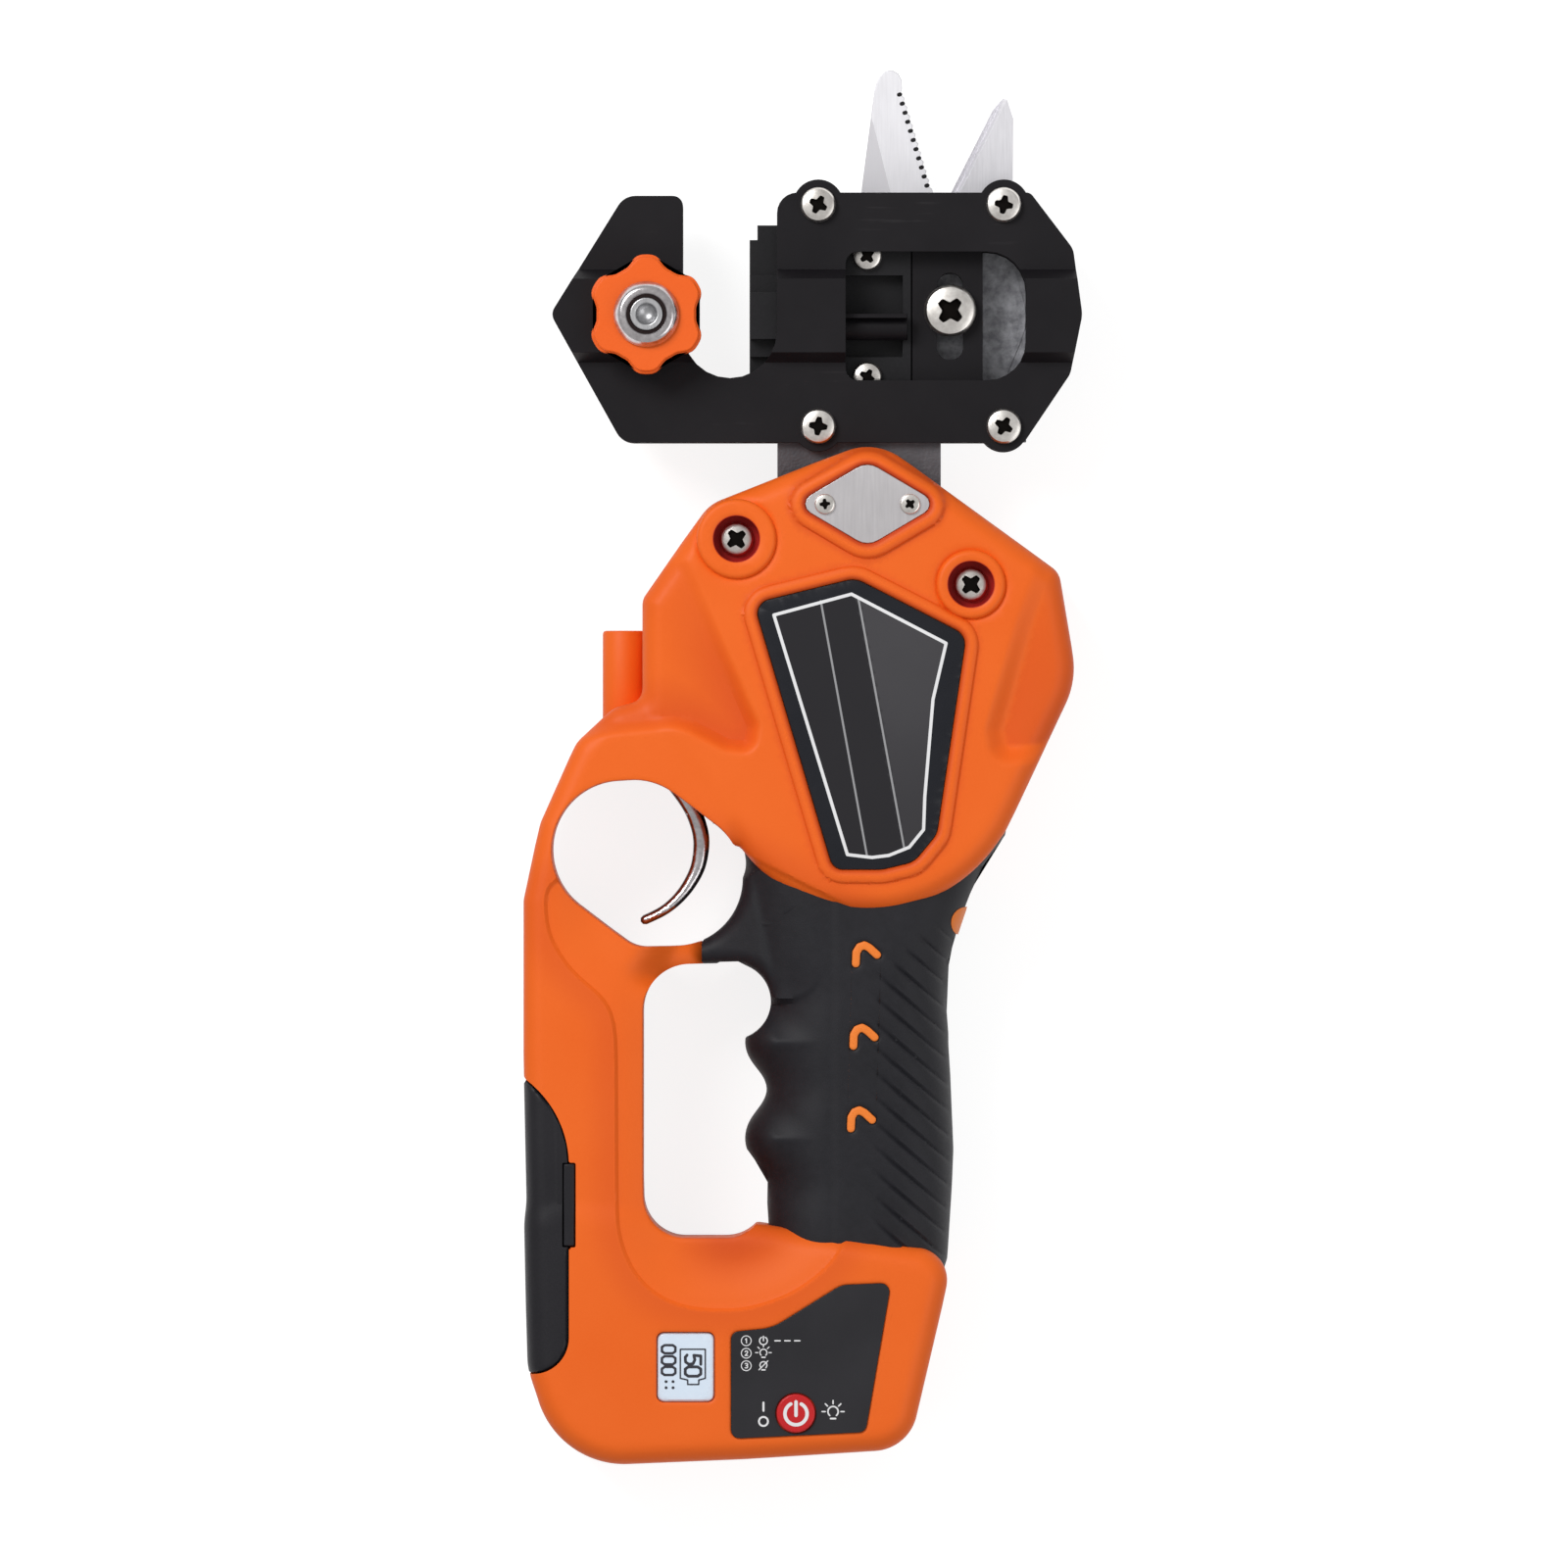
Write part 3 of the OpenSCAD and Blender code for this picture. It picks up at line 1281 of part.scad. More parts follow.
module switch_plunger() {
    color(dark) translate([plunger_x, plunger_y, mid_z]) rotate([0, 90, 0])
        cylinder(r = plunger_r, h = switch_x - plunger_x + 2.5);
}

module circuit_board() {
    color("#1f5a3a") difference() {
        translate([lcd_pos.x - 2, base_y + 9, board_z]) cube([48, 34, board_t]);
        translate([left_x + 30, base_y + 9, 0]) cylinder(r = boss_post_r, h = body_t);
    }
}

module display() {
    color("#b9c8d4") translate([lcd_pos.x, lcd_pos.y, body_t - lcd_sunk - lcd_t])
        cube([lcd_size.x, lcd_size.y, lcd_t]);
    color("#8a97a2") translate([lcd_pos.x + 1, lcd_pos.y + 1, board_z + board_t])
        cube([lcd_size.x - 2, lcd_size.y - 2, body_t - lcd_sunk - lcd_t - board_z - board_t]);
}

module control_panel() {
    color(dark) difference() {
        slab(body_t - panel_t, body_t) polygon(rounded(panel_corners, 4));
        translate([button_pos.x, button_pos.y, body_t - panel_t - over])
            cylinder(r = button_r + slide_gap, h = panel_t + 2 * over);
    }
}

module power_button() {
    color("#c62222") translate([button_pos.x, button_pos.y, board_z + board_t + button_travel + 0.2])
        cylinder(r = button_r, h = body_t + button_proud - board_z - board_t - button_travel - 0.2);
}

// Outer cover of the pack with the tray that holds the cells
module battery_case() {
    color(dark) difference() {
        union() {
            intersection() {
                lobe(column_spots, column_half, edge_r);
                slab(0, body_t) blob(pack_spots);
            }
            translate([tray_x0, tray_y0, mid_z - tray_half])
                cube([tray_x1 - tray_x0, tray_y1 - tray_y0, 2 * tray_half]);
        }
        for (s = [-1, 1]) translate([cell_x, tray_y0 + 1.6 + cell_len, mid_z + s * cell_z])
            rotate([90, 0, 0])
            cylinder(r = cell_r + insert_gap, h = cell_len);
        slab(latch_z0 - latch_travel - 0.6, body_t + over) latch_plan(slide_gap);
        slab(-over, body_t - latch_z0 + latch_travel + 0.6) latch_plan(slide_gap);
    }
}

module battery_cells() {
    color("#3d7fb0") for (s = [-1, 1]) translate([cell_x, tray_y0 + 1.6 + cell_len, mid_z + s * cell_z])
        rotate([90, 0, 0])
        cylinder(r = cell_r, h = cell_len);
}

module battery_contacts() {
    color("#c9a04a") for (y = [12, 24]) translate([tray_x1, tray_y0 + y, mid_z - 3]) cube([0.4, 6, 6]);
}

module front_latch() {
    color("#2b3138") slab(latch_z0, mid_z + column_half + latch_proud) latch_plan();
}

module back_latch() {
    color("#2b3138") slab(mid_z - column_half - latch_proud, body_t - latch_z0) latch_plan();
}

placed() front_shell();
placed() back_shell();
placed() front_grip();
placed() back_grip();
placed() grip_chevrons();
placed() thumb_inlay();
placed() shell_screws();
placed() back_screws();
placed() cover_plate();
placed() cover_screws();
placed() nameplate();
placed() lamp_lens();
placed() lamp_led();
placed() front_plate();
placed() back_plate();
placed() plate_standoffs();
placed() plate_screws();
placed() slide_block();
placed() blade_holder();
placed() holder_screws();
placed() graft_blade();
placed() drive_screw();
placed() anvil();
placed() anvil_bolt();
placed() anvil_knob();
placed() knob_nut();
placed() fixed_blade();
placed() blade_screw();
placed() moving_blade();
placed() sector_gear();
placed() pivot_bolt();
placed() pivot_nut();
placed() gear_head();
placed() bevel_pinion();
placed() pinion_bearing();
placed() gearbox();
placed() motor();
placed() trigger();
placed() trigger_pin();
placed() trigger_spring();
placed() micro_switch();
placed() switch_plunger();
placed() circuit_board();
placed() display();
placed() control_panel();
placed() power_button();
placed() battery_case();
placed() battery_cells();
placed() battery_contacts();
placed() front_latch();
placed() back_latch();
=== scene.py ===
import math
import bmesh
import bpy
import numpy as np
from mathutils import Matrix, Vector, geometry


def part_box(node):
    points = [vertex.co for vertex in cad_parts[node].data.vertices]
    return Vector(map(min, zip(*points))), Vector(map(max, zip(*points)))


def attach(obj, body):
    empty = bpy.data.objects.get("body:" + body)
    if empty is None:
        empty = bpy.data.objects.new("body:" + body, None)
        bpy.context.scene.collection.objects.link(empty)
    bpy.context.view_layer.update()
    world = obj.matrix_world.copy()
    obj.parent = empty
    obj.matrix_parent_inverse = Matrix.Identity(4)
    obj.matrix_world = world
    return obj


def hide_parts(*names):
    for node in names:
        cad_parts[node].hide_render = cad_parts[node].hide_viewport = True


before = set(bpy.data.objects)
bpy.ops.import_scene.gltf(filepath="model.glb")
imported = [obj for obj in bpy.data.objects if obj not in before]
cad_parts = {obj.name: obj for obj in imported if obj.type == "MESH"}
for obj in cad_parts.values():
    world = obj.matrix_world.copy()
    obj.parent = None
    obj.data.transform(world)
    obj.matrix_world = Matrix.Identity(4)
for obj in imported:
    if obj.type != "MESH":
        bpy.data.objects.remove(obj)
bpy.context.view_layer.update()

print("frame loaded:", len(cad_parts), "nodes")

# plan millimetres count from the blade pivot, heights from the back face
plan = {"shiftX": 15.75, "shiftY": 63.8, "mid": 24.0, "top": 48.0}
millimetre = 0.001
sharpAngle = 32.0


def metres(xyz):
    p = np.asarray(xyz, float).reshape(-1, 3)
    return (p + (plan["shiftX"], plan["shiftY"], 0.0)) * millimetre


# shader wiring: one socket, its operators, and one method that makes any node
class Wire:
    def __init__(self, tree, socket=None):
        self.tree, self.socket = tree, socket

    def node(self, kind, settings=None, values=None, out=0):
        made = self.tree.nodes.new(kind)
        for key, value in (settings or {}).items():
            setattr(made, key, value)
        for key, value in (values or {}).items():
            if isinstance(value, Wire):
                self.tree.links.new(value.socket, made.inputs[key])
            else:
                made.inputs[key].default_value = value
        return Wire(self.tree, made.outputs[out])

    def maths(self, operation, other):
        return self.node("ShaderNodeMath", {"operation": operation}, {0: self, 1: other})

    def __add__(self, other):
        return self.maths("ADD", other)

    def __sub__(self, other):
        return self.maths("SUBTRACT", other)

    def __mul__(self, other):
        return self.maths("MULTIPLY", other)

    def clamp(self, low, high):
        return self.node("ShaderNodeMapRange", {"clamp": True}, {0: self, 1: low, 2: high})


mats = {}


class Finish:
    def __init__(self, name, **fixed):
        mats[name] = bpy.data.materials.new(name)
        mats[name].use_nodes = True
        self.tree = mats[name].node_tree
        self.shader = self.tree.nodes["Principled BSDF"]
        self.wire = Wire(self.tree)
        self.place = self.wire.node("ShaderNodeTexCoord", out=3)
        for key, value in fixed.items():
            self.shader.inputs[key.replace("_", " ")].default_value = value

    def feed(self, socket, value):
        self.tree.links.new(value.socket, self.shader.inputs[socket])

    def noise(self, scale, detail=3.0, rough=0.55, stretch=None, turn=0.0):
        where = self.place
        if stretch:
            where = self.wire.node("ShaderNodeMapping", values={
                "Vector": where, "Scale": stretch, "Rotation": (0, 0, turn)})
        return self.wire.node("ShaderNodeTexNoise", {"noise_dimensions": "3D"},
                              {"Vector": where, "Scale": scale, "Detail": detail, "Roughness": rough})

    def spots(self, scale):
        return self.wire.node("ShaderNodeTexVoronoi", values={"Vector": self.place, "Scale": scale})

    def blend(self, share, first, second):
        first, second = (q if isinstance(q, Wire) else (*q, 1.0) for q in (first, second))
        return self.wire.node("ShaderNodeMix", {"data_type": "RGBA"}, {0: share, 6: first, 7: second}, 2)

    # painted shade: a piece's deep mask blends the darker tint in, mostly in recesses, gaps, bevels and along edges
    def shade(self, tint, deep):  # recesses carry their own mask
        if not deep:
            return tint
        return self.blend(self.wire.node("ShaderNodeAttribute", {"attribute_name": "deep"}, out=2), tint, deep)

    def bump(self, height, depth, strength=1.0):
        self.feed("Normal", self.wire.node("ShaderNodeBump", values={
            "Height": height, "Distance": depth, "Strength": strength}))


def mouldedPlastic(name, base, light, rough, grain, depth, deep=None):
    f = Finish(name, IOR=1.46, Specular_IOR_Level=0.27)
    cloud, fine = f.noise(38.0, 4.0), f.noise(grain, 2.0)
    share = (cloud * 0.7 + fine * 0.3).clamp(0.3, 0.7)
    f.feed("Base Color", f.shade(f.blend(share, base, light), deep))
    f.feed("Roughness", (cloud - 0.5) * 0.16 + (fine - 0.5) * 0.12 + rough)
    f.bump(fine + f.noise(grain * 2.6, 2.0) * 0.5, depth, 0.7)


def softRubber(name, base, light):
    f = Finish(name, IOR=1.5, Specular_IOR_Level=0.29)
    cloud, fine, dust = f.noise(55.0, 4.0), f.noise(2600.0, 2.0), f.noise(520.0, 3.0)
    f.feed("Base Color", f.blend((cloud * 0.6 + dust * 0.4).clamp(0.35, 0.7), base, light))
    f.feed("Roughness", cloud * 0.14 + dust * 0.08 + 0.46)
    f.bump(fine, 0.00004, 0.8)


def blackOxide(name, base, light, worn, rough, scratch):
    f = Finish(name, IOR=1.5, Specular_IOR_Level=0.18)
    cloud, fine = f.noise(46.0, 5.0), f.noise(1900.0, 2.0)
    lines = f.noise(900.0, 3.0, 0.6, (0.05, 1.0, 1.0), 0.5)
    rub = (lines * cloud).clamp(0.36, 0.46) * scratch
    f.feed("Base Color", f.blend(rub, f.blend(cloud.clamp(0.35, 0.65), base, light), worn))
    f.feed("Roughness", cloud * 0.16 + fine * 0.08 + rough)
    f.bump(fine, 0.00002, 0.6)


def bareMetal(name, base, dark, rough, stretch, turn, brush, spread=0.12, deep=None, shadeBand=None):
    f = Finish(name, Metallic=1.0)
    lines, cloud = f.noise(brush, 3.0, 0.6, stretch, turn), f.noise(60.0, 4.0)
    tint = f.shade(f.blend((lines * 0.55 + cloud * 0.45).clamp(0.35, 0.65), dark, base), deep)
    if shadeBand:  # painted shade below a line across the tool, where the lever lies under the plates, mottled like the steel
        shadeMottle = f.blend(f.noise(260.0, 5.0, 0.65).clamp(0.38, 0.62), shadeBand["dark"], shadeBand["light"])
        along = f.wire.node("ShaderNodeSeparateXYZ", values={0: f.place}, out=1)
        tint = f.blend(along.clamp(*shadeBand["fade"]), shadeMottle, tint)
    f.feed("Base Color", tint)
    f.feed("Roughness", lines * spread + cloud * 0.1 + (rough - 0.5 * spread))
    f.bump(lines, 0.000012, 0.5)


def castMetal(name, base, dark, rough):
    f = Finish(name, Metallic=0.85)
    cells, cloud = f.spots(1500.0), f.noise(120.0, 5.0)
    f.feed("Base Color", f.blend(cloud.clamp(0.3, 0.7), dark, base))
    f.feed("Roughness", cloud * 0.2 + rough)
    f.bump(cells + cloud, 0.00008, 0.5)


# base and light tints, roughness, grain, bump depth and the dark tint that the deep mask paints in, painted shade on
# most pieces
plastics = {
    "orangeShell": ((0.82, 0.124, 0.0085), (0.85, 0.14, 0.0125), 0.5, 2100.0, 0.00003, (0.42, 0.008, 0.006)),
    "orangeKnob": ((0.8, 0.112, 0.0095), (0.84, 0.128, 0.0135), 0.46, 1800.0, 0.00003),
    "orangeInset": ((0.83, 0.2, 0.026), (0.86, 0.225, 0.034), 0.46, 1800.0, 0.00002),
    "batteryBlack": ((0.0115, 0.0108, 0.0135), (0.0165, 0.0155, 0.019), 0.44, 1700.0, 0.00003),
    "blackNylon": ((0.0075, 0.0072, 0.0085), (0.012, 0.0115, 0.0135), 0.42, 1500.0, 0.00003),
    "labelBlack": ((0.0095, 0.0105, 0.0145), (0.014, 0.0152, 0.02), 0.3, 3600.0, 0.000008),
    "labelGray": ((0.052, 0.05, 0.055), (0.06, 0.058, 0.063), 0.34, 3600.0, 0.000008, (0.019, 0.018, 0.021)),
    "panelGray": ((0.0195, 0.019, 0.022), (0.028, 0.027, 0.031), 0.36, 3600.0, 0.000008),
    "labelWhite": ((0.72, 0.72, 0.73), (0.82, 0.82, 0.83), 0.42, 3600.0, 0.000006),
    "labelLine": ((0.27, 0.27, 0.28), (0.34, 0.34, 0.35), 0.42, 3600.0, 0.000006),
    "displayFace": ((0.66, 0.76, 0.88), (0.72, 0.82, 0.93), 0.18, 900.0, 0.000003),
    "displayInk": ((0.03, 0.03, 0.04), (0.055, 0.055, 0.065), 0.3, 3600.0, 0.000004),
    "redPlastic": ((0.48, 0.012, 0.016), (0.6, 0.022, 0.024), 0.34, 2400.0, 0.00002),
    "whiteNylon": ((0.7, 0.68, 0.62), (0.8, 0.78, 0.72), 0.5, 1500.0, 0.00003),
    "boardGreen": ((0.012, 0.09, 0.045), (0.02, 0.13, 0.06), 0.4, 2600.0, 0.00002),
    "cellWrap": ((0.03, 0.14, 0.33), (0.05, 0.19, 0.4), 0.3, 1400.0, 0.00001),
    "shadowBlack": ((0.006, 0.006, 0.007), (0.011, 0.01, 0.012), 0.6, 1500.0, 0.00002),
}
for name, values in plastics.items():
    mouldedPlastic(name, *values)
softRubber("gripRubber", (0.008, 0.0079, 0.0108), (0.0145, 0.0142, 0.0185))
blackOxide("blackPlate", (0.0062, 0.0052, 0.0068), (0.0092, 0.008, 0.0098), (0.11, 0.105, 0.11), 0.42, 0.1)
castMetal("castGray", (0.135, 0.13, 0.14), (0.075, 0.073, 0.08), 0.42)

# light and dark tints, roughness, stretch, turn and scale of the brush lines, their spread, then the painted shade
# tint of recesses, bevels and gaps, and the painted shade below a line on the lever
# painted shade on the lever: darker below this line, where it sits under the plates
leverShade = {"fade": (0.1295, 0.133), "dark": (0.25, 0.25, 0.27), "light": (0.5, 0.5, 0.53)}
even, brushed = (1.0, 1.0, 1.0), (1.0, 0.05, 1.0)
metals = {
    "nickel": ((0.88, 0.85, 0.81), (0.68, 0.64, 0.6), 0.26, even, 0.0, 900.0, 0.12, (0.012, 0.01, 0.009)),
    "bladeSteel": ((0.9, 0.89, 0.92), (0.83, 0.82, 0.85), 0.45, (1.0, 0.04, 1.0), 0.15, 2600.0, 0.12,
                   (0.4, 0.39, 0.41)),
    "grayBlade": ((0.8, 0.79, 0.82), (0.7, 0.69, 0.72), 0.46, brushed, 0.2, 2400.0, 0.12, None, leverShade),
    "drawnSteel": ((0.6, 0.6, 0.61), (0.42, 0.42, 0.43), 0.34, brushed, 0.0, 1800.0),
    "chrome": ((0.72, 0.69, 0.7), (0.46, 0.43, 0.44), 0.16, (1.0, 1.0, 0.2), 0.4, 700.0, 0.08, (0.05, 0.035, 0.035)),
    "satinAluminium": ((0.62, 0.6, 0.61), (0.56, 0.54, 0.55), 0.42, brushed, 1.2, 2200.0, 0.08),
    "brass": ((0.62, 0.45, 0.18), (0.46, 0.31, 0.1), 0.3, even, 0.0, 700.0),
}
for name, values in metals.items():
    bareMetal(name, *values)
print("finishes made:", len(mats))


# plan outlines: a set of circles [x, y, radius] pulled tight, and corner lists
def directions(count):
    a = np.arange(count) * 2 * math.pi / count
    return np.stack([np.cos(a), np.sin(a)], 1)


def blobDistance(p, spots, count=300):
    u, s = directions(count), np.asarray(spots, float)
    reach = (s[:, :2] @ u.T + s[:, 2:3]).max(0)
    parts = np.array_split(p, max(1, len(p) // 8000))
    return np.concatenate([(part @ u.T - reach).max(1) for part in parts])


def roundedLoop(corners, steps=7):
    pts, n = [], len(corners)
    for i, (_, _, r) in enumerate(corners):
        a, b, c = (np.array(corners[(i + k) % n][:2], float) for k in (-1, 0, 1))
        u, w = (a - b) / np.linalg.norm(a - b), (c - b) / np.linalg.norm(c - b)
        half = math.acos(max(-1.0, min(1.0, u @ w))) / 2
        mid = b + (u + w) / np.linalg.norm(u + w) * r / math.sin(half)
        s, e = b + u * r / math.tan(half) - mid, b + w * r / math.tan(half) - mid
        start = math.atan2(s[1], s[0])
        turn = (math.atan2(e[1], e[0]) - start + 3 * math.pi) % (2 * math.pi) - math.pi
        for k in range(steps + 1):
            at = start + turn * k / steps
            pts.append(mid + r * np.array([math.cos(at), math.sin(at)]))
    return np.array(pts)


def resample(loop, spacing):
    closed = np.vstack([loop, loop[:1]])
    run = np.concatenate([[0], np.cumsum(np.linalg.norm(np.diff(closed, axis=0), axis=1))])
    at = np.linspace(0, run[-1], max(8, int(run[-1] / spacing)), endpoint=False)
    return np.stack([np.interp(at, run, closed[:, k]) for k in (0, 1)], 1)


def pathDistance(p, a, b):
    ap, ab = p[:, None] - a[None], (b - a)[None]
    t = np.clip((ap * ab).sum(2) / np.maximum((ab * ab).sum(2), 1e-12), 0, 1)
    return np.linalg.norm(ap - ab * t[..., None], axis=2).min(1)


def loopDistance(p, loop):
    a, b = loop, np.roll(loop, -1, 0)
    tall = np.where(b[:, 1] == a[:, 1], 1e-12, b[:, 1] - a[:, 1])
    out = []
    for part in np.array_split(p, max(1, len(p) // 4000)):
        x, y = part[:, None, 0], part[:, None, 1]
        cross = (a[:, 1] > y) != (b[:, 1] > y)
        hit = x < (b - a)[:, 0] * (y - a[:, 1]) / tall + a[:, 0]
        d = pathDistance(part, a, b)
        out.append(np.where((cross & hit).sum(1) % 2 == 1, -d, d))
    return np.concatenate(out)


def offsetLoop(loop, grow, spacing=0.6):
    p = resample(loop, spacing)
    t = np.roll(p, -1, 0) - np.roll(p, 1, 0)
    n = np.stack([t[:, 1], -t[:, 0]], 1) / np.maximum(np.linalg.norm(t, axis=1, keepdims=True), 1e-9)
    area = (p[:, 0] * np.roll(p[:, 1], -1) - np.roll(p[:, 0], -1) * p[:, 1]).sum()
    return p + n * grow * (1 if area > 0 else -1)


def softMin(a, b, k):
    h = np.maximum(k - np.abs(a - b), 0) / k
    return np.minimum(a, b) - h * h * k / 4


def rise(x, low, high):
    t = np.clip((x - low) / (high - low), 0, 1)
    return t * t * (3 - 2 * t)


def roundOff(depth, edge):
    d = edge - np.clip(depth, 0, edge)
    return edge - np.sqrt(np.maximum(edge * edge - d * d, 0))


def flatTop(field, top, edge):
    return lambda p: top - roundOff(-field(p), edge)


# where a field is zero: marched squares, then points pulled onto the line
def contourLoops(field, low, high, step, spacing):
    xs, ys = np.arange(low[0], high[0], step), np.arange(low[1], high[1], step)
    gx, gy = np.meshgrid(xs, ys, indexing="ij")
    v = field(np.stack([gx.ravel(), gy.ravel()], 1)).reshape(gx.shape)
    v[np.abs(v) < 1e-9] = 1e-9
    inside = v < 0
    links = {}
    mixed = inside[:-1, :-1].astype(int) + inside[1:, :-1] + inside[1:, 1:] + inside[:-1, 1:]
    for i, j in np.argwhere((mixed > 0) & (mixed < 4)):
        ring = [(i, j), (i + 1, j), (i + 1, j + 1), (i, j + 1)]
        cuts = []
        for a, b in zip(ring, ring[1:] + ring[:1]):
            if inside[a] != inside[b]:
                cuts.append((tuple(sorted((a, b))), bool(inside[a])))
        leave = [c for c, here in cuts if here]
        enter = [c for c, here in cuts if not here]
        for a, b in zip(leave, enter if len(cuts) == 2 else enter[::-1]):
            links[b] = a
    loops, seen = [], set()
    for start in list(links):
        chain, at = [], start
        while at not in seen and at in links:
            seen.add(at)
            (i0, j0), (i1, j1) = at
            t = v[i0, j0] / (v[i0, j0] - v[i1, j1])
            chain.append((xs[i0] + (xs[i1] - xs[i0]) * t, ys[j0] + (ys[j1] - ys[j0]) * t))
            at = links[at]
        if len(chain) > 12:
            loops.append(settle(field, resample(np.array(chain), spacing)))
    return loops


def slope(field, p, h=0.05):
    gx = field(p + (h, 0)) - field(p - (h, 0))
    gy = field(p + (0, h)) - field(p - (0, h))
    g = np.stack([gx, gy], 1) / (2 * h)
    return g / np.maximum(np.linalg.norm(g, axis=1, keepdims=True), 1e-6)


def settle(field, p, rounds=3, reach=0.6):
    for _ in range(rounds):
        p = p - slope(field, p) * np.clip(field(p), -reach, reach)[:, None]
    return p


def ringPoints(field, loops, depths):
    rows = []
    for loop in loops:
        n = slope(field, loop)
        for d in depths:
            p = loop - n * d
            rows.append(p[np.abs(field(p) + d) < 0.06 + 0.12 * d])
    return np.concatenate(rows)


def gridPoints(low, high, step):
    xs, ys = np.arange(low[0], high[0], step), np.arange(low[1], high[1], step * 0.866)
    gx, gy = np.meshgrid(xs, ys)
    gx = gx + (np.arange(len(ys)) % 2)[:, None] * step / 2
    return np.stack([gx.ravel(), gy.ravel()], 1)


def thin(p, gap, kept=()):
    taken, out = {(int(x // gap), int(y // gap)) for x, y in kept}, []
    for x, y in p:
        key = (int(x // gap), int(y // gap))
        if key not in taken:
            taken.add(key)
            out.append((x, y))
    return np.array(out).reshape(-1, 2)


def triangulate(loops, loose, keep):
    pts, edges = [], []
    for loop in loops:
        base = len(pts)
        pts += [Vector(q) for q in loop]
        edges += [(base + i, base + (i + 1) % len(loop)) for i in range(len(loop))]
    pts += [Vector(q) for q in loose]
    made = geometry.delaunay_2d_cdt(pts, edges, [], 0, 1e-6)
    verts = np.array([q[:] for q in made[0]])
    tris = np.array([f for f in made[2] if len(f) == 3])
    return verts, tris[keep(verts[tris].mean(1))]


def shellPlan(field, low, high, depths, grid, extra=None):
    loops = contourLoops(field, low, high, 0.5, 0.9)
    extra = np.zeros((0, 2)) if extra is None else extra[field(extra) < -0.3]
    kept = thin(ringPoints(field, loops, depths), 0.4, extra)
    inner = gridPoints(low, high, grid)
    inner = thin(inner[field(inner) < -0.5], grid * 0.75, np.vstack([kept, extra]))
    return triangulate(loops, np.vstack([extra, kept, inner]), lambda mid: field(mid) < 0)


def meshObject(name, verts, faces, mat, sharp=sharpAngle, mask=None):
    mesh = bpy.data.meshes.new(name)
    mesh.from_pydata([tuple(q) for q in verts], [], [tuple(int(i) for i in f) for f in faces])
    if mask is not None:
        paintDeep(mesh, "POINT", mask)
    mesh.validate()
    mesh.materials.append(mats[mat])
    return showMesh(name, mesh, sharp)


# the deep mask: where it is 1 the finish takes its dark tint, painted shade on most pieces
def paintDeep(mesh, domain, values):
    layer = mesh.attributes.new("deep", "FLOAT", domain)
    layer.data.foreach_set("value", np.asarray(values, np.float32))


def smooth(mesh, sharp=sharpAngle):
    mesh.shade_smooth()
    if sharp:
        mesh.set_sharp_from_angle(angle=math.radians(sharp))


def placeObject(name, data):
    made = bpy.data.objects.new(name, data)
    bpy.context.scene.collection.objects.link(made)
    return made


def showMesh(name, mesh, sharp=sharpAngle):
    smooth(mesh, sharp)
    return placeObject(name, mesh)


def editMesh(mesh, *steps):
    bm = bmesh.new()
    bm.from_mesh(mesh)
    for step in steps:
        step(bm)
    bm.to_mesh(mesh)
    bm.free()


def weld(reach):
    return lambda bm: bmesh.ops.remove_doubles(bm, verts=bm.verts, dist=reach)


def settleIn(made, body, slot, *nodes):
    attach(made, body)
    if nodes:
        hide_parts(*nodes)
    return made


# relief solid: a height field over a plan, walls down to a foot height, upward or downward
def relief(name, mat, sheet, height, foot, up=True, mask=None, drop=None, levels=4):
    verts, tris = sheet
    z = height(verts)
    faces = [tuple(t) for t in tris]
    count = len(verts)
    sides = np.concatenate([tris[:, [0, 1]], tris[:, [1, 2]], tris[:, [2, 0]]])
    there = {tuple(q) for q in sides}
    edges = [q for q in there if (q[1], q[0]) not in there]
    low = {(i, 0): i for e in edges for i in e}
    rim, wall = sorted(i for i, _ in low), []
    for k in range(1, levels + 1):
        for i in rim:
            low[i, k] = count + len(wall)
            wall.append((verts[i][0], verts[i][1], z[i] + (foot - z[i]) * k / levels))
    for a, b in edges:
        for k in range(levels):
            middle = (z[a] + z[b]) / 2
            middle += (foot - middle) * (k + 0.5) / levels
            if drop is None or not drop((verts[a] + verts[b]) / 2, middle):
                faces.append((low[b, k], low[a, k], low[a, k + 1], low[b, k + 1]))
    solid = np.vstack([np.column_stack([verts, z]), np.array(wall)])
    if not up:
        solid[:, 2] = 2 * plan["mid"] - solid[:, 2]
        faces = [f[::-1] for f in faces]
    if mask is not None:
        mask = np.concatenate([mask(verts), np.zeros(len(wall))])
    return meshObject(name, metres(solid), faces, mat, mask=mask)


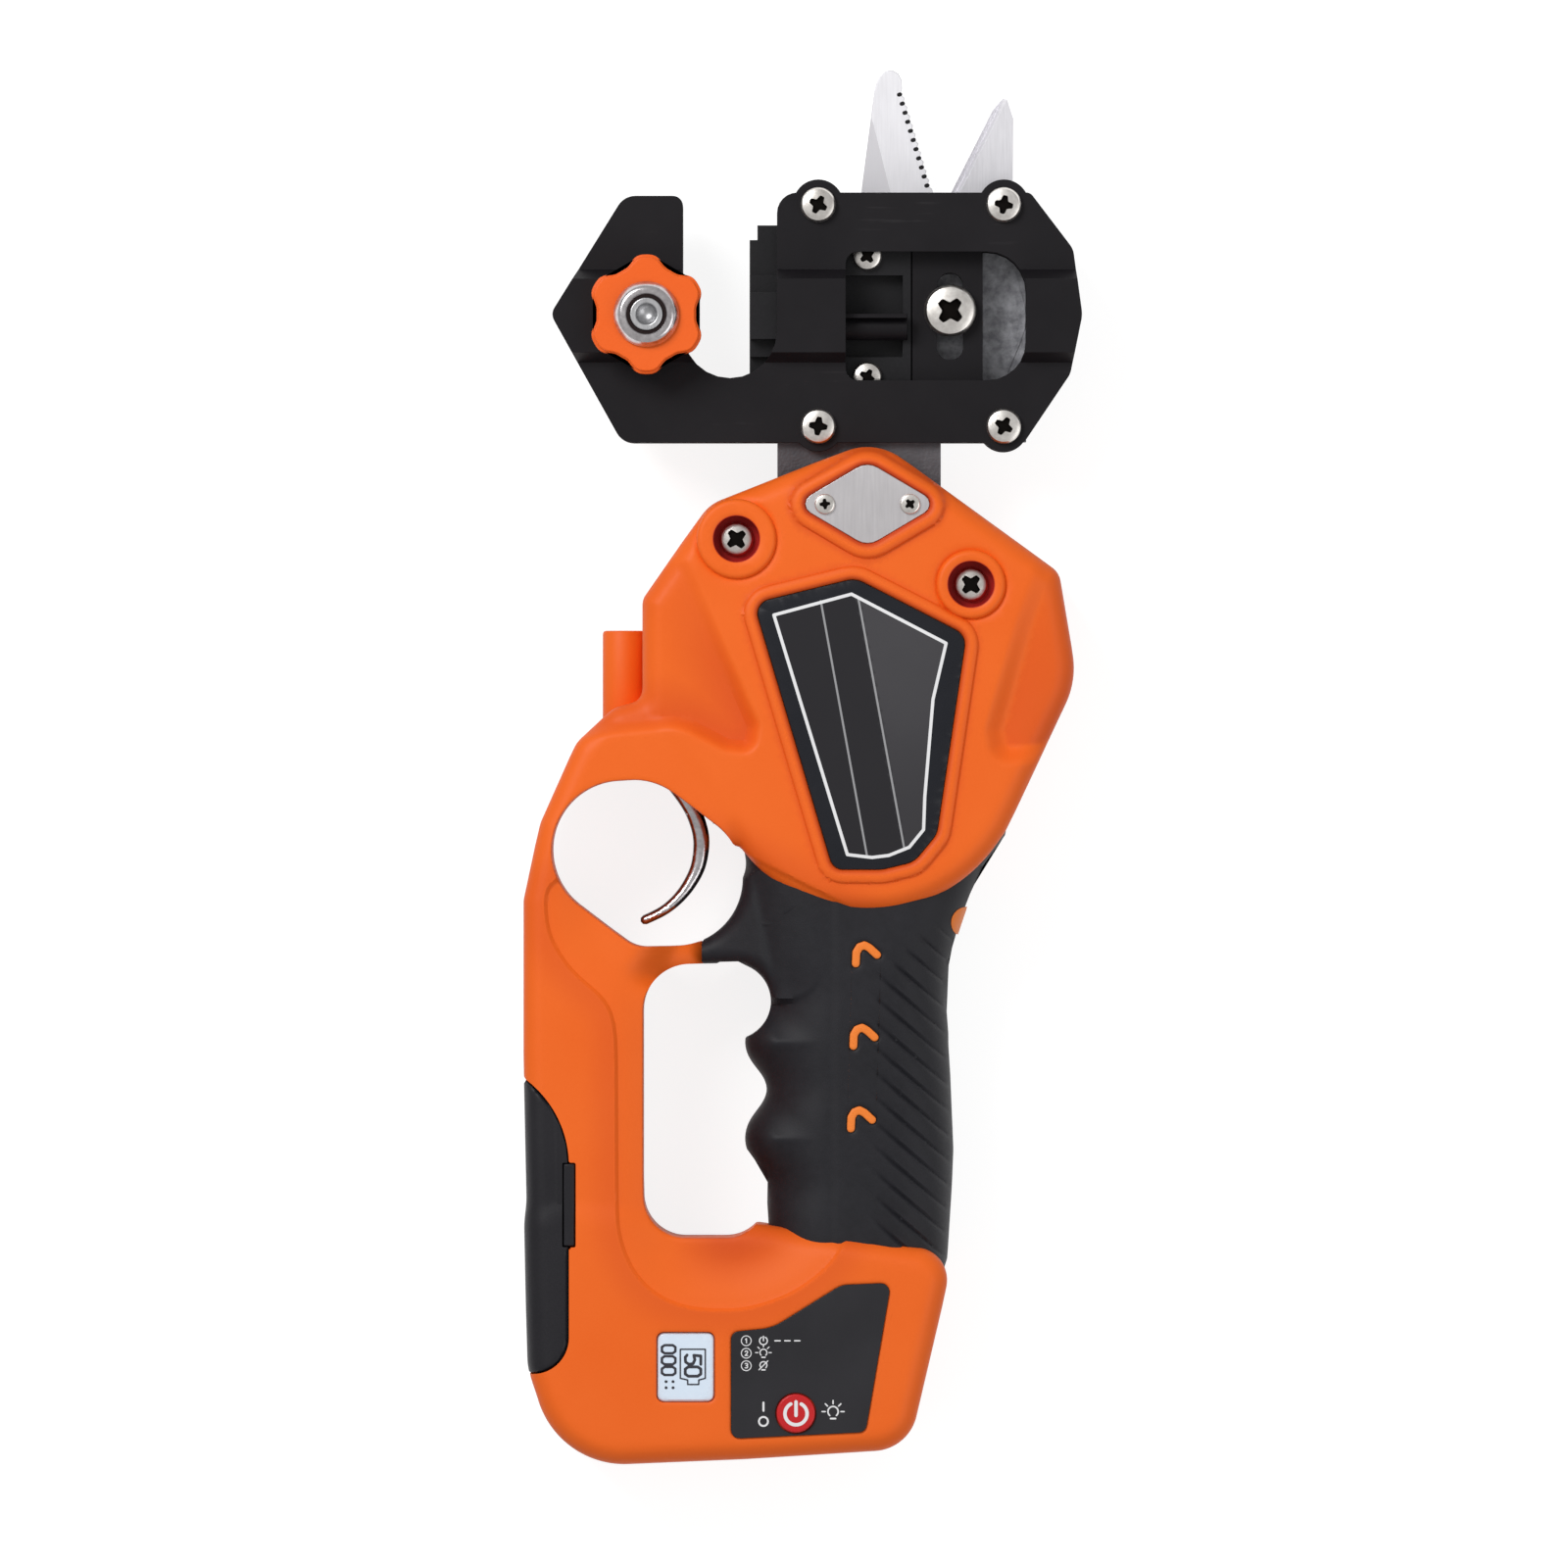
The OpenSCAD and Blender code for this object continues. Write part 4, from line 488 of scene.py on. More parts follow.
housing = {
    "upper": [(0, 0, 14), (-32, -8.5, 10.3), (-51, -24.5, 4), (-51, -50, 4), (0, -61, 38.5), (28.5, -77, 6),
              (30, -40, 20.5), (42.3, -19.5, 5)],
    "guard": [(-58.5, -56, 7), (-64.5, -63, 8), (-72.3, -80.4, 8), (-76.1, -97.8, 8), (-75.9, -110.8, 8),
              (-60.7, -114.8, 6), (-34, -70, 8), (-38, -52, 8)],
    "column": [(-76.1, -109.8, 8), (-74.5, -208.6, 8), (-56.0, -208.6, 8), (-56.0, -121.8, 8)],
    "base": [(-74.5, -177.2, 8), (-59.4, -212.6, 22), (1.3, -220.4, 11), (11.5, -189.6, 8), (-52.7, -179.2, 6)],
    "strut": [(-60.7, -110.5, 5.0), (-43.8, -110.3, 4.8)],
    "finger": [(-60.2, -84.5, 16.9), (-57.0, -83.5, 16.1), (-47.0, -91.5, 16.5), (-54.0, -100.0, 8.2)],
    "hand": [(-43.4, -123.8, 11.4), (-33.0, -121.6, 9.4), (-34.5, -169.2, 10), (-44.4, -168.9, 10.3)],
    "left": -84.05, "edge": 4.8, "lip": {"finger": 1.8, "hand": 1.5}, "halfUpper": 24.0, "halfGuard": 23.0,
    "halfStrut": 11.6, "strutRise": 12.5, "strutRun": (-70.0, -36.0),
    "pack": [(-99.2, -161.6, 26), (-81.8, -203.6, 8.6)], "packGap": 0.3,
    "latch": [(-74.5, -181.5, 0.4), (-71.3, -181.5, 0.4), (-71.3, -160.9, 0.4), (-74.5, -160.9, 0.4)],
    "latchFloor": 18.4,
    "scoopLeft": [(-67, -19, 1), (-44, -12.5, 3), (-25.9, -54.0, 5), (-27.2, -61.4, 4), (-35.0, -60.6, 7),
                  (-46, -54.8, 12), (-70, -57.5, 1)],
    "scoopRight": [(43.6, -6, 1), (35.8, -29.1, 8), (28.4, -55, 6), (30, -64.4, 6), (44, -63.2, 6), (60, -54, 1),
                   (60, -6, 1)],
    "scoopDepth": 3.6, "scoopWall": {"scoopLeft": 3.6, "scoopRight": 5.2},
    "scoopFade": {"scoopLeft": (-58, -20, -31, -57), "scoopRight": (44, -10, 34, -52)},
    "crease": [(-79.5, -92), (-78.7, -105.5), (-72.5, -115), (-63.5, -121.5), (-61.9, -128), (-61.6, -178),
               (-58.2, -187.5), (-52.0, -194), (-43.5, -197.2), (-30, -197.5), (-18, -193.5), (-8, -186), (0, -170),
               (0, -100), (-40, -80)],
    "creaseDrop": 2.6, "creaseRun": 13.0, "creaseStep": 0.95, "creaseWall": 1.1,
    "bosses": [(-32.0, -8.5, 9.7), (25.3, -19.6, 8.4)], "bossRise": 0.8, "bossEdge": 1.2, "cup": 5.6, "cupDepth": 7.0,
    "cover": [(17.6, 0, 2.5), (0, 10.4, 5), (-17.6, 0, 2.5), (0, -10.4, 5)],
    "name": [(-27.8, -24.2, 3.6), (-2.9, -18.1, 6), (24.2, -32, 4), (17, -80.6, 6), (11.4, -87.4, 6), (3.6, -89.3, 8),
             (-8.4, -89.3, 3.2)],
    "panel": [(-33.3, -202.2, 2), (-23.2, -201.2, 12), (-6.3, -190.7, 6), (5.7, -190.2, 2), (-0.5, -226.6, 2),
              (-33.3, -228.2, 2)],
    "display": [(-51.5, -219.3, 1.7), (-37.3, -219.3, 1.7), (-37.3, -202.2, 1.7), (-51.5, -202.2, 1.7)],
    "recess": {"cover": 1.2, "name": 0.9, "panel": 0.9, "display": 2.2},
    "beads": {"cover": (1.35, 1.9), "name": (1.1, 1.7)},
    "grooves": {"boss": (0.5, 0.7), "cup": (0.35, 0.5), "recess": (0.25, 0.35)},
}
# how strongly painted shade darkens the recesses, scoops, bead valleys, the crease and the dish below the hand hole
tint = {"recess": 0.75, "scoops": {"scoopLeft": (0.32, 0.0, 17.0), "scoopRight": (0.24, 4.6, 40.0)},
        "beads": {"cover": (0.62, 0.3, 2.5, 5.6), "name": (0.42, 0.2, 2.2, 4.6)}, "crease": 0.17, "creaseReach": 9.0,
        "dish": 0.42, "dishReach": 14.0, "dishTop": (172.0, 182.0), "dishLeft": (-50.0, -34.0)}
backScrews = {"spots": [(-57.3, -116.8), (-54.1, -225.6), (8.0, -223.6), (30.8, -70.0)], "cup": 3.3, "depth": 6.0,
              "groove": (0.3, 0.5)}
loopKeys = ("cover", "name", "panel", "display", "latch", "scoopLeft", "scoopRight")
frontLoops = {key: roundedLoop(housing[key]) for key in loopKeys}
creaseLoop = resample(np.array(housing["crease"], float), 1.0)
for _ in range(30):
    creaseLoop = (np.roll(creaseLoop, 1, 0) + creaseLoop * 2 + np.roll(creaseLoop, -1, 0)) / 4


def bodyField(p):
    upper, guard, column, base, strut = (
        blobDistance(p, housing[key]) for key in ("upper", "guard", "column", "base", "strut"))
    f = softMin(softMin(upper, guard, 3.0), softMin(column, base, 4.0), 3.0)
    return np.maximum(softMin(f, strut, 3.0), housing["left"] - p[:, 0])


def shellField(p):
    holes = [-blobDistance(p, housing[key]) for key in ("finger", "hand")]
    return np.max([bodyField(p), *holes, housing["packGap"] - blobDistance(p, housing["pack"])], 0)


# outer skin of the moulding above the parting plane, before the front details
def bodyHeight(p):
    h = housing
    ends = softMin(blobDistance(p, h["upper"]), blobDistance(p, h["base"]), 2.0)
    side = softMin(blobDistance(p, h["guard"]), blobDistance(p, h["column"]), 4.0)
    z = h["halfGuard"] + rise(-ends, 0.0, 7.0) * (h["halfUpper"] - h["halfGuard"])
    bridge = rise(softMin(ends, side, 2.0), -7.0, 3.0) * (1 - rise(blobDistance(p, h["strut"]), 0.5, 7.0))
    ramp = h["halfStrut"] + h["strutRise"] * (1 - rise(p[:, 0], *h["strutRun"]))
    z = z + (ramp - z) * bridge - roundOff(-bodyField(p), h["edge"])
    for hole, edge in h["lip"].items():
        z = softMin(z, h["halfUpper"] - roundOff(blobDistance(p, h[hole]), edge), 0.8)
    z = np.where(loopDistance(p, frontLoops["latch"]) < 0, np.minimum(z, h["latchFloor"]), z)
    return z + plan["mid"]


def discDistance(p, disc, r):
    return np.hypot(p[:, 0] - disc[0], p[:, 1] - disc[1]) - r


def groove(d, depth, width):
    return depth * np.exp(-(d / width) ** 2)


def scoopShare(p, key):
    x0, y0, x1, y1 = housing["scoopFade"][key]
    along = ((p[:, 0] - x0) * (x1 - x0) + (p[:, 1] - y0) * (y1 - y0)) / ((x1 - x0) ** 2 + (y1 - y0) ** 2)
    wall = rise(-loopDistance(p, frontLoops[key]), -0.4, housing["scoopWall"][key])
    return wall * (0.3 + 0.7 * rise(along, 0.0, 1.0))


def creasedHeight(p):
    h = housing
    dip = np.maximum(-loopDistance(p, creaseLoop), 0)
    drop = h["creaseDrop"] * rise(dip, -1.0, h["creaseRun"]) + h["creaseStep"] * rise(dip, 0.0, h["creaseWall"])
    return bodyHeight(p) - drop


def frontHeight(p):
    h, top = housing, plan["top"]
    z = creasedHeight(p)
    for key in h["scoopWall"]:
        z = z - h["scoopDepth"] * scoopShare(p, key)
    for key, (lift, wide) in h["beads"].items():
        d = loopDistance(p, frontLoops[key])
        z = z + lift * np.sqrt(np.clip(1 - ((d - wide) / wide) ** 2, 0, 1))
    for boss in h["bosses"]:
        d, cup = discDistance(p, boss, boss[2]), discDistance(p, boss, h["cup"])
        flat = top + h["bossRise"] - roundOff(-d, h["bossEdge"])
        z = np.where(d < 0, np.maximum(z, flat), z - groove(d, *h["grooves"]["boss"]))
        z = np.where(cup < 0, top + h["bossRise"] - h["cupDepth"], z - groove(cup, *h["grooves"]["cup"]))
    for key, deep in h["recess"].items():
        d = loopDistance(p, frontLoops[key])
        z = np.where(d < 0, top - deep, z - groove(d, *h["grooves"]["recess"]))
    return z


# painted shade on the front shell: dark red in the screw cups, recesses, scoops, bead valleys, beside the crease and
# in the dish below the hand hole
def frontShellShade(p):
    rows = [1 - rise(discDistance(p, boss, housing["cup"]), 0.02, 0.3) for boss in housing["bosses"]]
    for key in housing["recess"]:
        rows.append(tint["recess"] * (1 - rise(loopDistance(p, frontLoops[key]), -0.4, 0.25)))
    for key, (share, start, reach) in tint["scoops"].items():
        d = -loopDistance(p, frontLoops[key])
        band = (1 - rise(d, start + 3.0, reach)) * rise(d, start - 0.2, start + 0.9)
        rows.append(share * scoopShare(p, key) * band)
    for key, (near, far, start, stop) in tint["beads"].items():
        d = loopDistance(p, frontLoops[key])
        rows.append(near * rise(d, -0.1, 0.1) * (1 - rise(d, 0.4, 1.6)))
        rows.append(far * rise(d, start, start + 0.9) * (1 - rise(d, start + 0.9, stop)))
    d = loopDistance(p, creaseLoop)
    rows.append(tint["crease"] * rise(d, -0.6, 0.4) * (1 - rise(d, 0.4, tint["creaseReach"])))
    low = rise(-p[:, 1], *tint["dishTop"]) * rise(p[:, 0], *tint["dishLeft"])
    rows.append(tint["dish"] * low * (1 - rise(blobDistance(p, housing["hand"]), 0.0, tint["dishReach"])))
    return np.max(rows, 0)


def backHeight(p):
    z = creasedHeight(p)
    for spot in backScrews["spots"]:
        d = discDistance(p, spot, backScrews["cup"])
        z = np.where(d < 0, plan["top"] - backScrews["depth"], z - groove(d, *backScrews["groove"]))
    return z


# rows of points beside every step of the skins
def beside(loop, spacing, offsets):
    return [offsetLoop(loop, grow, spacing) for grow in offsets]


def frontRows():
    rows = []
    for key in housing["recess"]:
        rows += beside(frontLoops[key], 0.32, (-0.5, -0.06, 0.06, 0.4, 0.8))
    for key, (_, wide) in housing["beads"].items():
        rows += beside(frontLoops[key], 0.7, (1.1, wide, wide * 1.5, wide * 1.8, wide * 2, wide * 2 + 0.35))
    for key in housing["scoopWall"]:
        rows += beside(frontLoops[key], 0.8, (0.6, 0.0, -0.7, -1.5, -2.4, -3.4, -4.4))
    for x, y, r in housing["bosses"]:
        discs = [r + q for q in (-1.2, -0.8, -0.4, -0.07, 0.07, 0.5, 1.1)]
        discs += [housing["cup"] + q for q in (-0.5, -0.06, 0.06, 0.35, 0.8)]
        rows += [directions(int(2 * math.pi * q / 0.32)) * q + (x, y) for q in discs]
    return rows


def backRows():
    cups = [backScrews["cup"] + q for q in (-0.5, -0.06, 0.06, 0.4, 0.9)]
    return [directions(44) * q + spot for spot in backScrews["spots"] for q in cups]


latchRows = beside(frontLoops["latch"], 0.3, (-0.4, -0.06, 0.06, 0.5))
bothRows = latchRows + beside(creaseLoop, 0.8, (0.5, 0.0, -0.45, -0.9, -1.4))
passage = {"neck": (-22.0, 18.0), "neckLow": -20.0, "neckHeights": (4.8, 31.0),
           "trigger": [(-46.0, -67.6, 6.8), (-42.2, -78.0, 7.4)], "triggerReach": 0.4, "slot": 6.1,
           "bay": (-212.4, -140.8), "bayReach": 0.6}


# walls are left out where the neck, the battery pack and the trigger pass through
def wallOpen(front):
    def test(q, z):
        w, at = passage, np.array([q])
        height = z if front else 2 * plan["mid"] - z
        if w["neck"][0] < q[0] < w["neck"][1] and q[1] > w["neckLow"]:
            if w["neckHeights"][0] < height < w["neckHeights"][1]:
                return True
        if w["bay"][0] < q[1] < w["bay"][1] and blobDistance(at, housing["pack"])[0] < w["bayReach"]:
            return True
        return blobDistance(at, w["trigger"])[0] < w["triggerReach"] and abs(height - plan["mid"]) < w["slot"]
    return test


shellBox = (-88.0, -238.0), (56.0, 18.0)
shellRings = (0.22, 0.55, 1.0, 1.6, 2.4, 3.3, 4.4, 5.6, 6.9, 8.3)
shellFoot = plan["mid"] + 0.06
sheet = shellPlan(shellField, *shellBox, shellRings, 1.25, np.concatenate(frontRows() + bothRows))
frontShell = relief("frontShell", "orangeShell", sheet, frontHeight, shellFoot, True, frontShellShade, wallOpen(True))
settleIn(frontShell, "housing", "orange_shell", "front_shell")
print("front shell:", len(frontShell.data.polygons), "faces")
sheet = shellPlan(shellField, *shellBox, shellRings, 1.6, np.concatenate(backRows() + bothRows))
backShell = relief("backShell", "orangeShell", sheet, backHeight, shellFoot, False, None, wallOpen(False))
settleIn(backShell, "housing", "orange_shell", "back_shell")
print("back shell:", len(backShell.data.polygons), "faces")


grip = {
    "top": [(1.6, -78.0, 32.4), (-2.0, -119.8, 21.5)],
    "right": [(37.0, -76.0), (34.0, -80.6), (28.4, -88.8), (25.0, -97.0), (23.0, -103.0), (20.7, -110.0),
              (19.2, -120.6), (20.7, -140.0), (21.4, -153.6), (20.9, -168.6), (19.8, -182.0), (18.6, -196.0),
              (17.6, -208.0)],
    "palm": [(-2.0, -121.8, 21.2), (-2.0, -157.8, 23.1), (-2.0, -182.7, 21.7)],
    "swells": [[(-22.3, y, 7.6), (-12.5, y, 9.0)] for y in (-131.5, -155.1)],
    "horn": [(-24.0, -97.0, 8.0), (-37.6, -109.3, 5.4), (-20.0, -112.0, 9.0)], "hornEnd": -40.5,
    "half": 21.0, "edge": 15.0, "hornHalf": 12.2, "hornRise": 5.0, "hornRun": (-39.0, -20.0), "hornEdge": 3.6,
    "under": 5.0, "least": 1.5,
    "valleys": [(-21.0, -120.5), (-21.5, -142.6), (-21.0, -167.0)], "valleyDepth": 1.5, "valleySize": (8.5, 5.5),
    "grooveAngle": math.radians(-41.0), "groovePitch": 4.6, "grooveDepth": 0.7, "grooveLeft": -2.2,
    "grooveTop": 103.0, "grooveFade": 11.0, "grooveLean": (-117.0, 30.0, 0.9),
    "seam": -7.6, "seamStep": 0.35, "seamEnd": (-183.0, -181.0),
    "chevron": [(-2.84, -112.2), (-2.72, -109.5), (-1.95, -108.2), (-0.7, -107.75), (0.5, -108.4), (2.35, -110.1)],
    "chevronWidth": 1.9, "chevronStep": (-0.6, -20.15), "chevrons": 3,
    "inlay": (24.4, -102.3, 3.9),
}
edgeY = np.linspace(grip["right"][-1][1], grip["right"][0][1], 300)
edgeX = np.interp(edgeY, *np.array(grip["right"])[::-1, ::-1].T)
for _ in range(60):
    edgeX[1:-1] = (edgeX[:-2] + 2 * edgeX[1:-1] + edgeX[2:]) / 4


def palmField(p):
    f = softMin(blobDistance(p, grip["top"]), blobDistance(p, grip["palm"]), 4.0)
    f = np.maximum(f, 0.96 * (p[:, 0] - np.interp(p[:, 1], edgeY, edgeX)))
    for swell in grip["swells"]:
        f = softMin(f, blobDistance(p, swell), 5.5)
    return f


def hornField(p):
    return np.maximum(blobDistance(p, grip["horn"]), grip["hornEnd"] - p[:, 0])


def gripField(p):
    rows = [-blobDistance(p, hole) for hole in (housing["finger"], housing["hand"][:2])]
    rows += [-grip["under"] - blobDistance(p, housing[key]) for key in ("upper", "base")]
    return np.max([softMin(palmField(p), hornField(p), 4.0), *rows], 0)


def gripBase(p):
    g, x, y = grip, p[:, 0], p[:, 1]
    d = -palmField(p)
    palm = g["half"] - roundOff(d, g["edge"]) + 3.0 * np.minimum(d, 0)
    wide, tall = g["valleySize"]
    for left, low in g["valleys"]:
        palm = palm - g["valleyDepth"] * np.exp(-(((x - left) / wide) ** 2 + ((y - low) / tall) ** 2))
    d = -hornField(p)
    horn = g["hornHalf"] + g["hornRise"] * rise(x, *g["hornRun"]) - roundOff(d + 1.6, 2.0) + 3.0 * np.minimum(d, 0)
    z = -softMin(-palm, -horn, 5.0)
    for hole, low in ((housing["finger"], -200.0), (housing["hand"][:2], -121.0)):
        z = z - roundOff(np.maximum(blobDistance(p, hole), 0), g["hornEdge"]) * rise(y, low - 3.0, low + 3.0)
    return plan["mid"] + np.maximum(z, g["least"])


def gripFront(p):
    g, x, y = grip, p[:, 0], p[:, 1]
    step = 1 - rise(x, g["seam"] - 1.2, g["seam"] + 0.6)
    z = gripBase(p) - g["seamStep"] * step * rise(-palmField(p), 0.0, 2.0) * rise(y, *g["seamEnd"])
    phase = ((y * math.cos(g["grooveAngle"]) - x * math.sin(g["grooveAngle"])) / g["groovePitch"]) % 1.0
    cut = groove(phase - 0.5, 1.0, 0.09) + 0.4 * np.clip(1 - np.abs(phase - 0.72) / 0.28, 0, 1)
    start, reach, lean = g["grooveLean"]
    left = g["grooveLeft"] + np.clip(y - start, 0, reach) * lean
    share = rise(x, left, left + g["grooveFade"]) * rise(-y, g["grooveTop"] - 3, g["grooveTop"] + 4)
    return z - g["grooveDepth"] * cut * share


chevronPaths = [np.array(grip["chevron"]) + np.array(grip["chevronStep"]) * k for k in range(grip["chevrons"])]


def strokeField(strokes):
    rows = [(np.array(path, float), width / 2) for path, width in strokes]
    return lambda p: np.min([pathDistance(p, path[:-1], path[1:]) - half for path, half in rows], 0)


chevronField = strokeField([(path, grip["chevronWidth"]) for path in chevronPaths])


def rubberFront(p):
    d = chevronField(p)
    return gripFront(p) - groove(d, 0.35, 0.45) - 0.5 * (d < 0)


# rows of points that follow the chevrons and each slanted groove
chevronLoops = contourLoops(chevronField, (-8.0, -158.0), (8.0, -102.0), 0.25, 0.35)
around = [row for loop in chevronLoops for row in beside(loop, 0.4, (-0.05, 0.05, 0.45, 0.9))]
c, s = math.cos(grip["grooveAngle"]), math.sin(grip["grooveAngle"])
run = np.arange(30.0, 175.0, 0.8)
ribs = [np.stack([run, np.full(len(run), (k + q) * grip["groovePitch"])], 1) @ np.array([[c, s], [-s, c]])
        for k in range(-52, 12) for q in (0.26, 0.36, 0.43, 0.5, 0.57, 0.64, 0.78)]
ribs = np.concatenate(ribs)
ribs = ribs[(ribs[:, 0] > -4.0) & (ribs[:, 1] < -98.0) & (ribs[:, 1] > -200.0)]
ribs = ribs[gripField(ribs) < -1.2]
around = np.concatenate(around + [ribs[chevronField(ribs) > 1.2]])

gripBox = (-46.0, -206.0), (40.0, -70.0)
gripFoot = plan["mid"] + 0.05
sheet = shellPlan(gripField, *gripBox, (0.15, 0.4, 0.8, 1.4, 2.1, 3.0, 4.0, 5.2), 0.8, around)
frontGrip = relief("frontGrip", "gripRubber", sheet, rubberFront, gripFoot)
settleIn(frontGrip, "housing", "grip_rubber", "front_grip")
sheet = shellPlan(gripField, *gripBox, (0.2, 0.6, 1.2, 2.0, 3.0, 4.2), 1.4)
settleIn(relief("backGrip", "gripRubber", sheet, gripBase, gripFoot, False), "housing", "grip_rubber", "back_grip")


def chevronHeight(p):
    return gripFront(p) + 0.3 - 0.4 * roundOff(-chevronField(p), 0.7)


inside = ringPoints(chevronField, chevronLoops, (0.2, 0.5, 0.85))
sheet = triangulate(chevronLoops, inside, lambda mid: chevronField(mid) < 0)
settleIn(relief("gripChevrons", "orangeInset", sheet, chevronHeight, plan["mid"] + 18.0),
         "housing", "orange_shell", "grip_chevrons")


def inlayField(p):
    *spot, r = grip["inlay"]
    return np.maximum(discDistance(p, spot, r), palmField(p) + 0.02)


def inlayHeight(p):
    return gripBase(p) + 0.35 - 0.3 * roundOff(-inlayField(p), 0.6)


sheet = shellPlan(inlayField, (18.0, -108.0), (34.0, -96.0), (0.15, 0.4, 0.8, 1.3), 0.6)
settleIn(relief("thumbInlay", "orangeInset", sheet, inlayHeight, plan["mid"] + 3.0),
         "housing", "orange_shell", "thumb_inlay")
print("grip:", len(frontGrip.data.polygons), "faces in front")


# battery pack skin, which carries on the column's surface
packSkin = {"box": ((-88.0, -216.0), (-70.0, -136.0)), "rings": (0.1, 0.3, 0.6, 1.0, 1.6, 2.4, 3.4, 4.6, 6.0),
            "grid": 1.0, "proud": 0.03, "sunk": 0.15, "edge": 0.9}


def packField(p):
    return np.maximum(bodyField(p) - packSkin["proud"], blobDistance(p, housing["pack"]))


def packHeight(p):
    return bodyHeight(p) - packSkin["sunk"] - roundOff(-blobDistance(p, housing["pack"]), packSkin["edge"])


sheet = shellPlan(packField, *packSkin["box"], packSkin["rings"], packSkin["grid"], np.concatenate(latchRows))
for name, up in (("packFront", True), ("packBack", False)):
    settleIn(relief(name, "batteryBlack", sheet, packHeight, plan["mid"], up), "pack", "dark_plastic")
print("battery pack done")


# lamp barrel on the left shoulder: a turned profile along the tool
lamp = {"place": (-59.6, -50.4, 24.0), "r": 5.2, "back": -6.0, "front": 19.6, "bore": 3.6, "bevel": 0.7, "depth": 9.0}


def turned(name, mat, profile, centre, axis, steps=64):
    ax = Vector(axis).normalized()
    u = ax.orthogonal().normalized()
    w = ax.cross(u)
    verts, faces, n = [], [], len(profile)
    for k in range(steps):
        a = 2 * math.pi * k / steps
        side = u * math.cos(a) + w * math.sin(a)
        verts += [Vector(centre) + ax * h + side * r for r, h in profile]
        m = (k + 1) % steps
        faces += [(k * n + i, m * n + i, m * n + i + 1, k * n + i + 1) for i in range(n - 1)]
    made = meshObject(name, metres([tuple(v) for v in verts]), faces, mat, 0)
    editMesh(made.data, weld(1e-7), lambda bm: bmesh.ops.recalc_face_normals(bm, faces=bm.faces))
    smooth(made.data)
    return made


r, bore, back, front, bevel = (lamp[key] for key in ("r", "bore", "back", "front", "bevel"))
barrel = [(0.0, back), (r - 2.0, back), (r - 0.6, back + 0.6), (r, back + 2.0), (r, front - bevel),
          (r - 0.25, front - 0.2), (r - bevel, front), (bore + 0.2, front), (bore, front - 0.3),
          (bore, front - lamp["depth"]), (0.0, front - lamp["depth"])]
settleIn(turned("lampBarrel", "orangeShell", barrel, lamp["place"], (0, 1, 0)), "housing", "orange_shell")
print("lamp barrel done")


# machined, pressed and moulded pieces: the node's own faces merged, then its edges broken
# finish, width of the broken edge, body and slot
edgeBreaks = {
    "front_plate": ("blackPlate", 0.45, "housing", "black_plate"),
    "back_plate": ("blackPlate", 0.4, "housing", "black_plate"),
    "slide_block": ("blackPlate", 0.3, "slider", "black_plate"),
    "blade_holder": ("blackNylon", 0.25, "slider", "black_nylon"),
    "graft_blade": ("blackPlate", 0.08, "slider", "blade_steel"),
    "anvil": ("whiteNylon", 0.4, "housing", "white_nylon"),
    "anvil_bolt": ("drawnSteel", 0.35, "housing", "steel"),
    "anvil_knob": ("orangeKnob", 1.1, "knob", "orange_knob"),
    "cover_plate": ("satinAluminium", 0.3, "housing", "satin_aluminium"),
    "gear_head": ("castGray", 0.5, "housing", "satin_aluminium"),
    "fixed_blade": ("bladeSteel", 0.12, "housing", "blade_steel"),
    "moving_blade": ("grayBlade", 0.12, "lever", "blade_steel"),
    "control_panel": ("panelGray", 0.2, "housing", "dark_plastic"),
    "power_button": ("redPlastic", 0.4, "power_key", "red_plastic"),
    "front_latch": ("batteryBlack", 0.35, "front_latch_key", "dark_plastic"),
    "back_latch": ("batteryBlack", 0.35, "back_latch_key", "dark_plastic"),
    "plate_standoffs": ("drawnSteel", 0.3, "housing", "steel"),
    "pivot_bolt": ("drawnSteel", 0.3, "housing", "steel"),
    "pivot_nut": ("drawnSteel", 0.3, "housing", "steel"),
    "sector_gear": ("drawnSteel", 0.1, "lever", "steel"),
}
breaking = {"weld": 2e-7, "flat": 1.5, "cut": 38.0, "sharp": 35.0, "segments": 3}


def pieceName(node):
    first, *rest = node.split("_")
    return first + "".join(w.capitalize() for w in rest)


def evaluated(made):
    return bpy.data.meshes.new_from_object(made.evaluated_get(bpy.context.evaluated_depsgraph_get()))


def breakEdges(node, mat, width, body, slot):
    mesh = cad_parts[node].data.copy()
    flat = math.radians(breaking["flat"])
    editMesh(mesh, weld(breaking["weld"]),
             lambda bm: bmesh.ops.dissolve_limit(bm, angle_limit=flat, verts=bm.verts, edges=bm.edges))
    mesh.materials.clear()
    mesh.materials.append(mats[mat])
    for face in mesh.polygons:
        face.material_index = 0
    made = showMesh(pieceName(node), mesh, breaking["sharp"])
    cut = made.modifiers.new("edges", "BEVEL")
    cut.width, cut.segments = width * millimetre, breaking["segments"]
    cut.limit_method, cut.angle_limit = "ANGLE", math.radians(breaking["cut"])
    cut.use_clamp_overlap, cut.harden_normals = True, False
    made.modifiers.new("flats", "WEIGHTED_NORMAL").keep_sharp = True
    done = evaluated(made)
    made.modifiers.clear()
    made.data = done
    return settleIn(made, body, slot, node)


broken = {node: breakEdges(node, *row) for node, row in edgeBreaks.items()}
print("edges broken on", len(broken), "pieces")

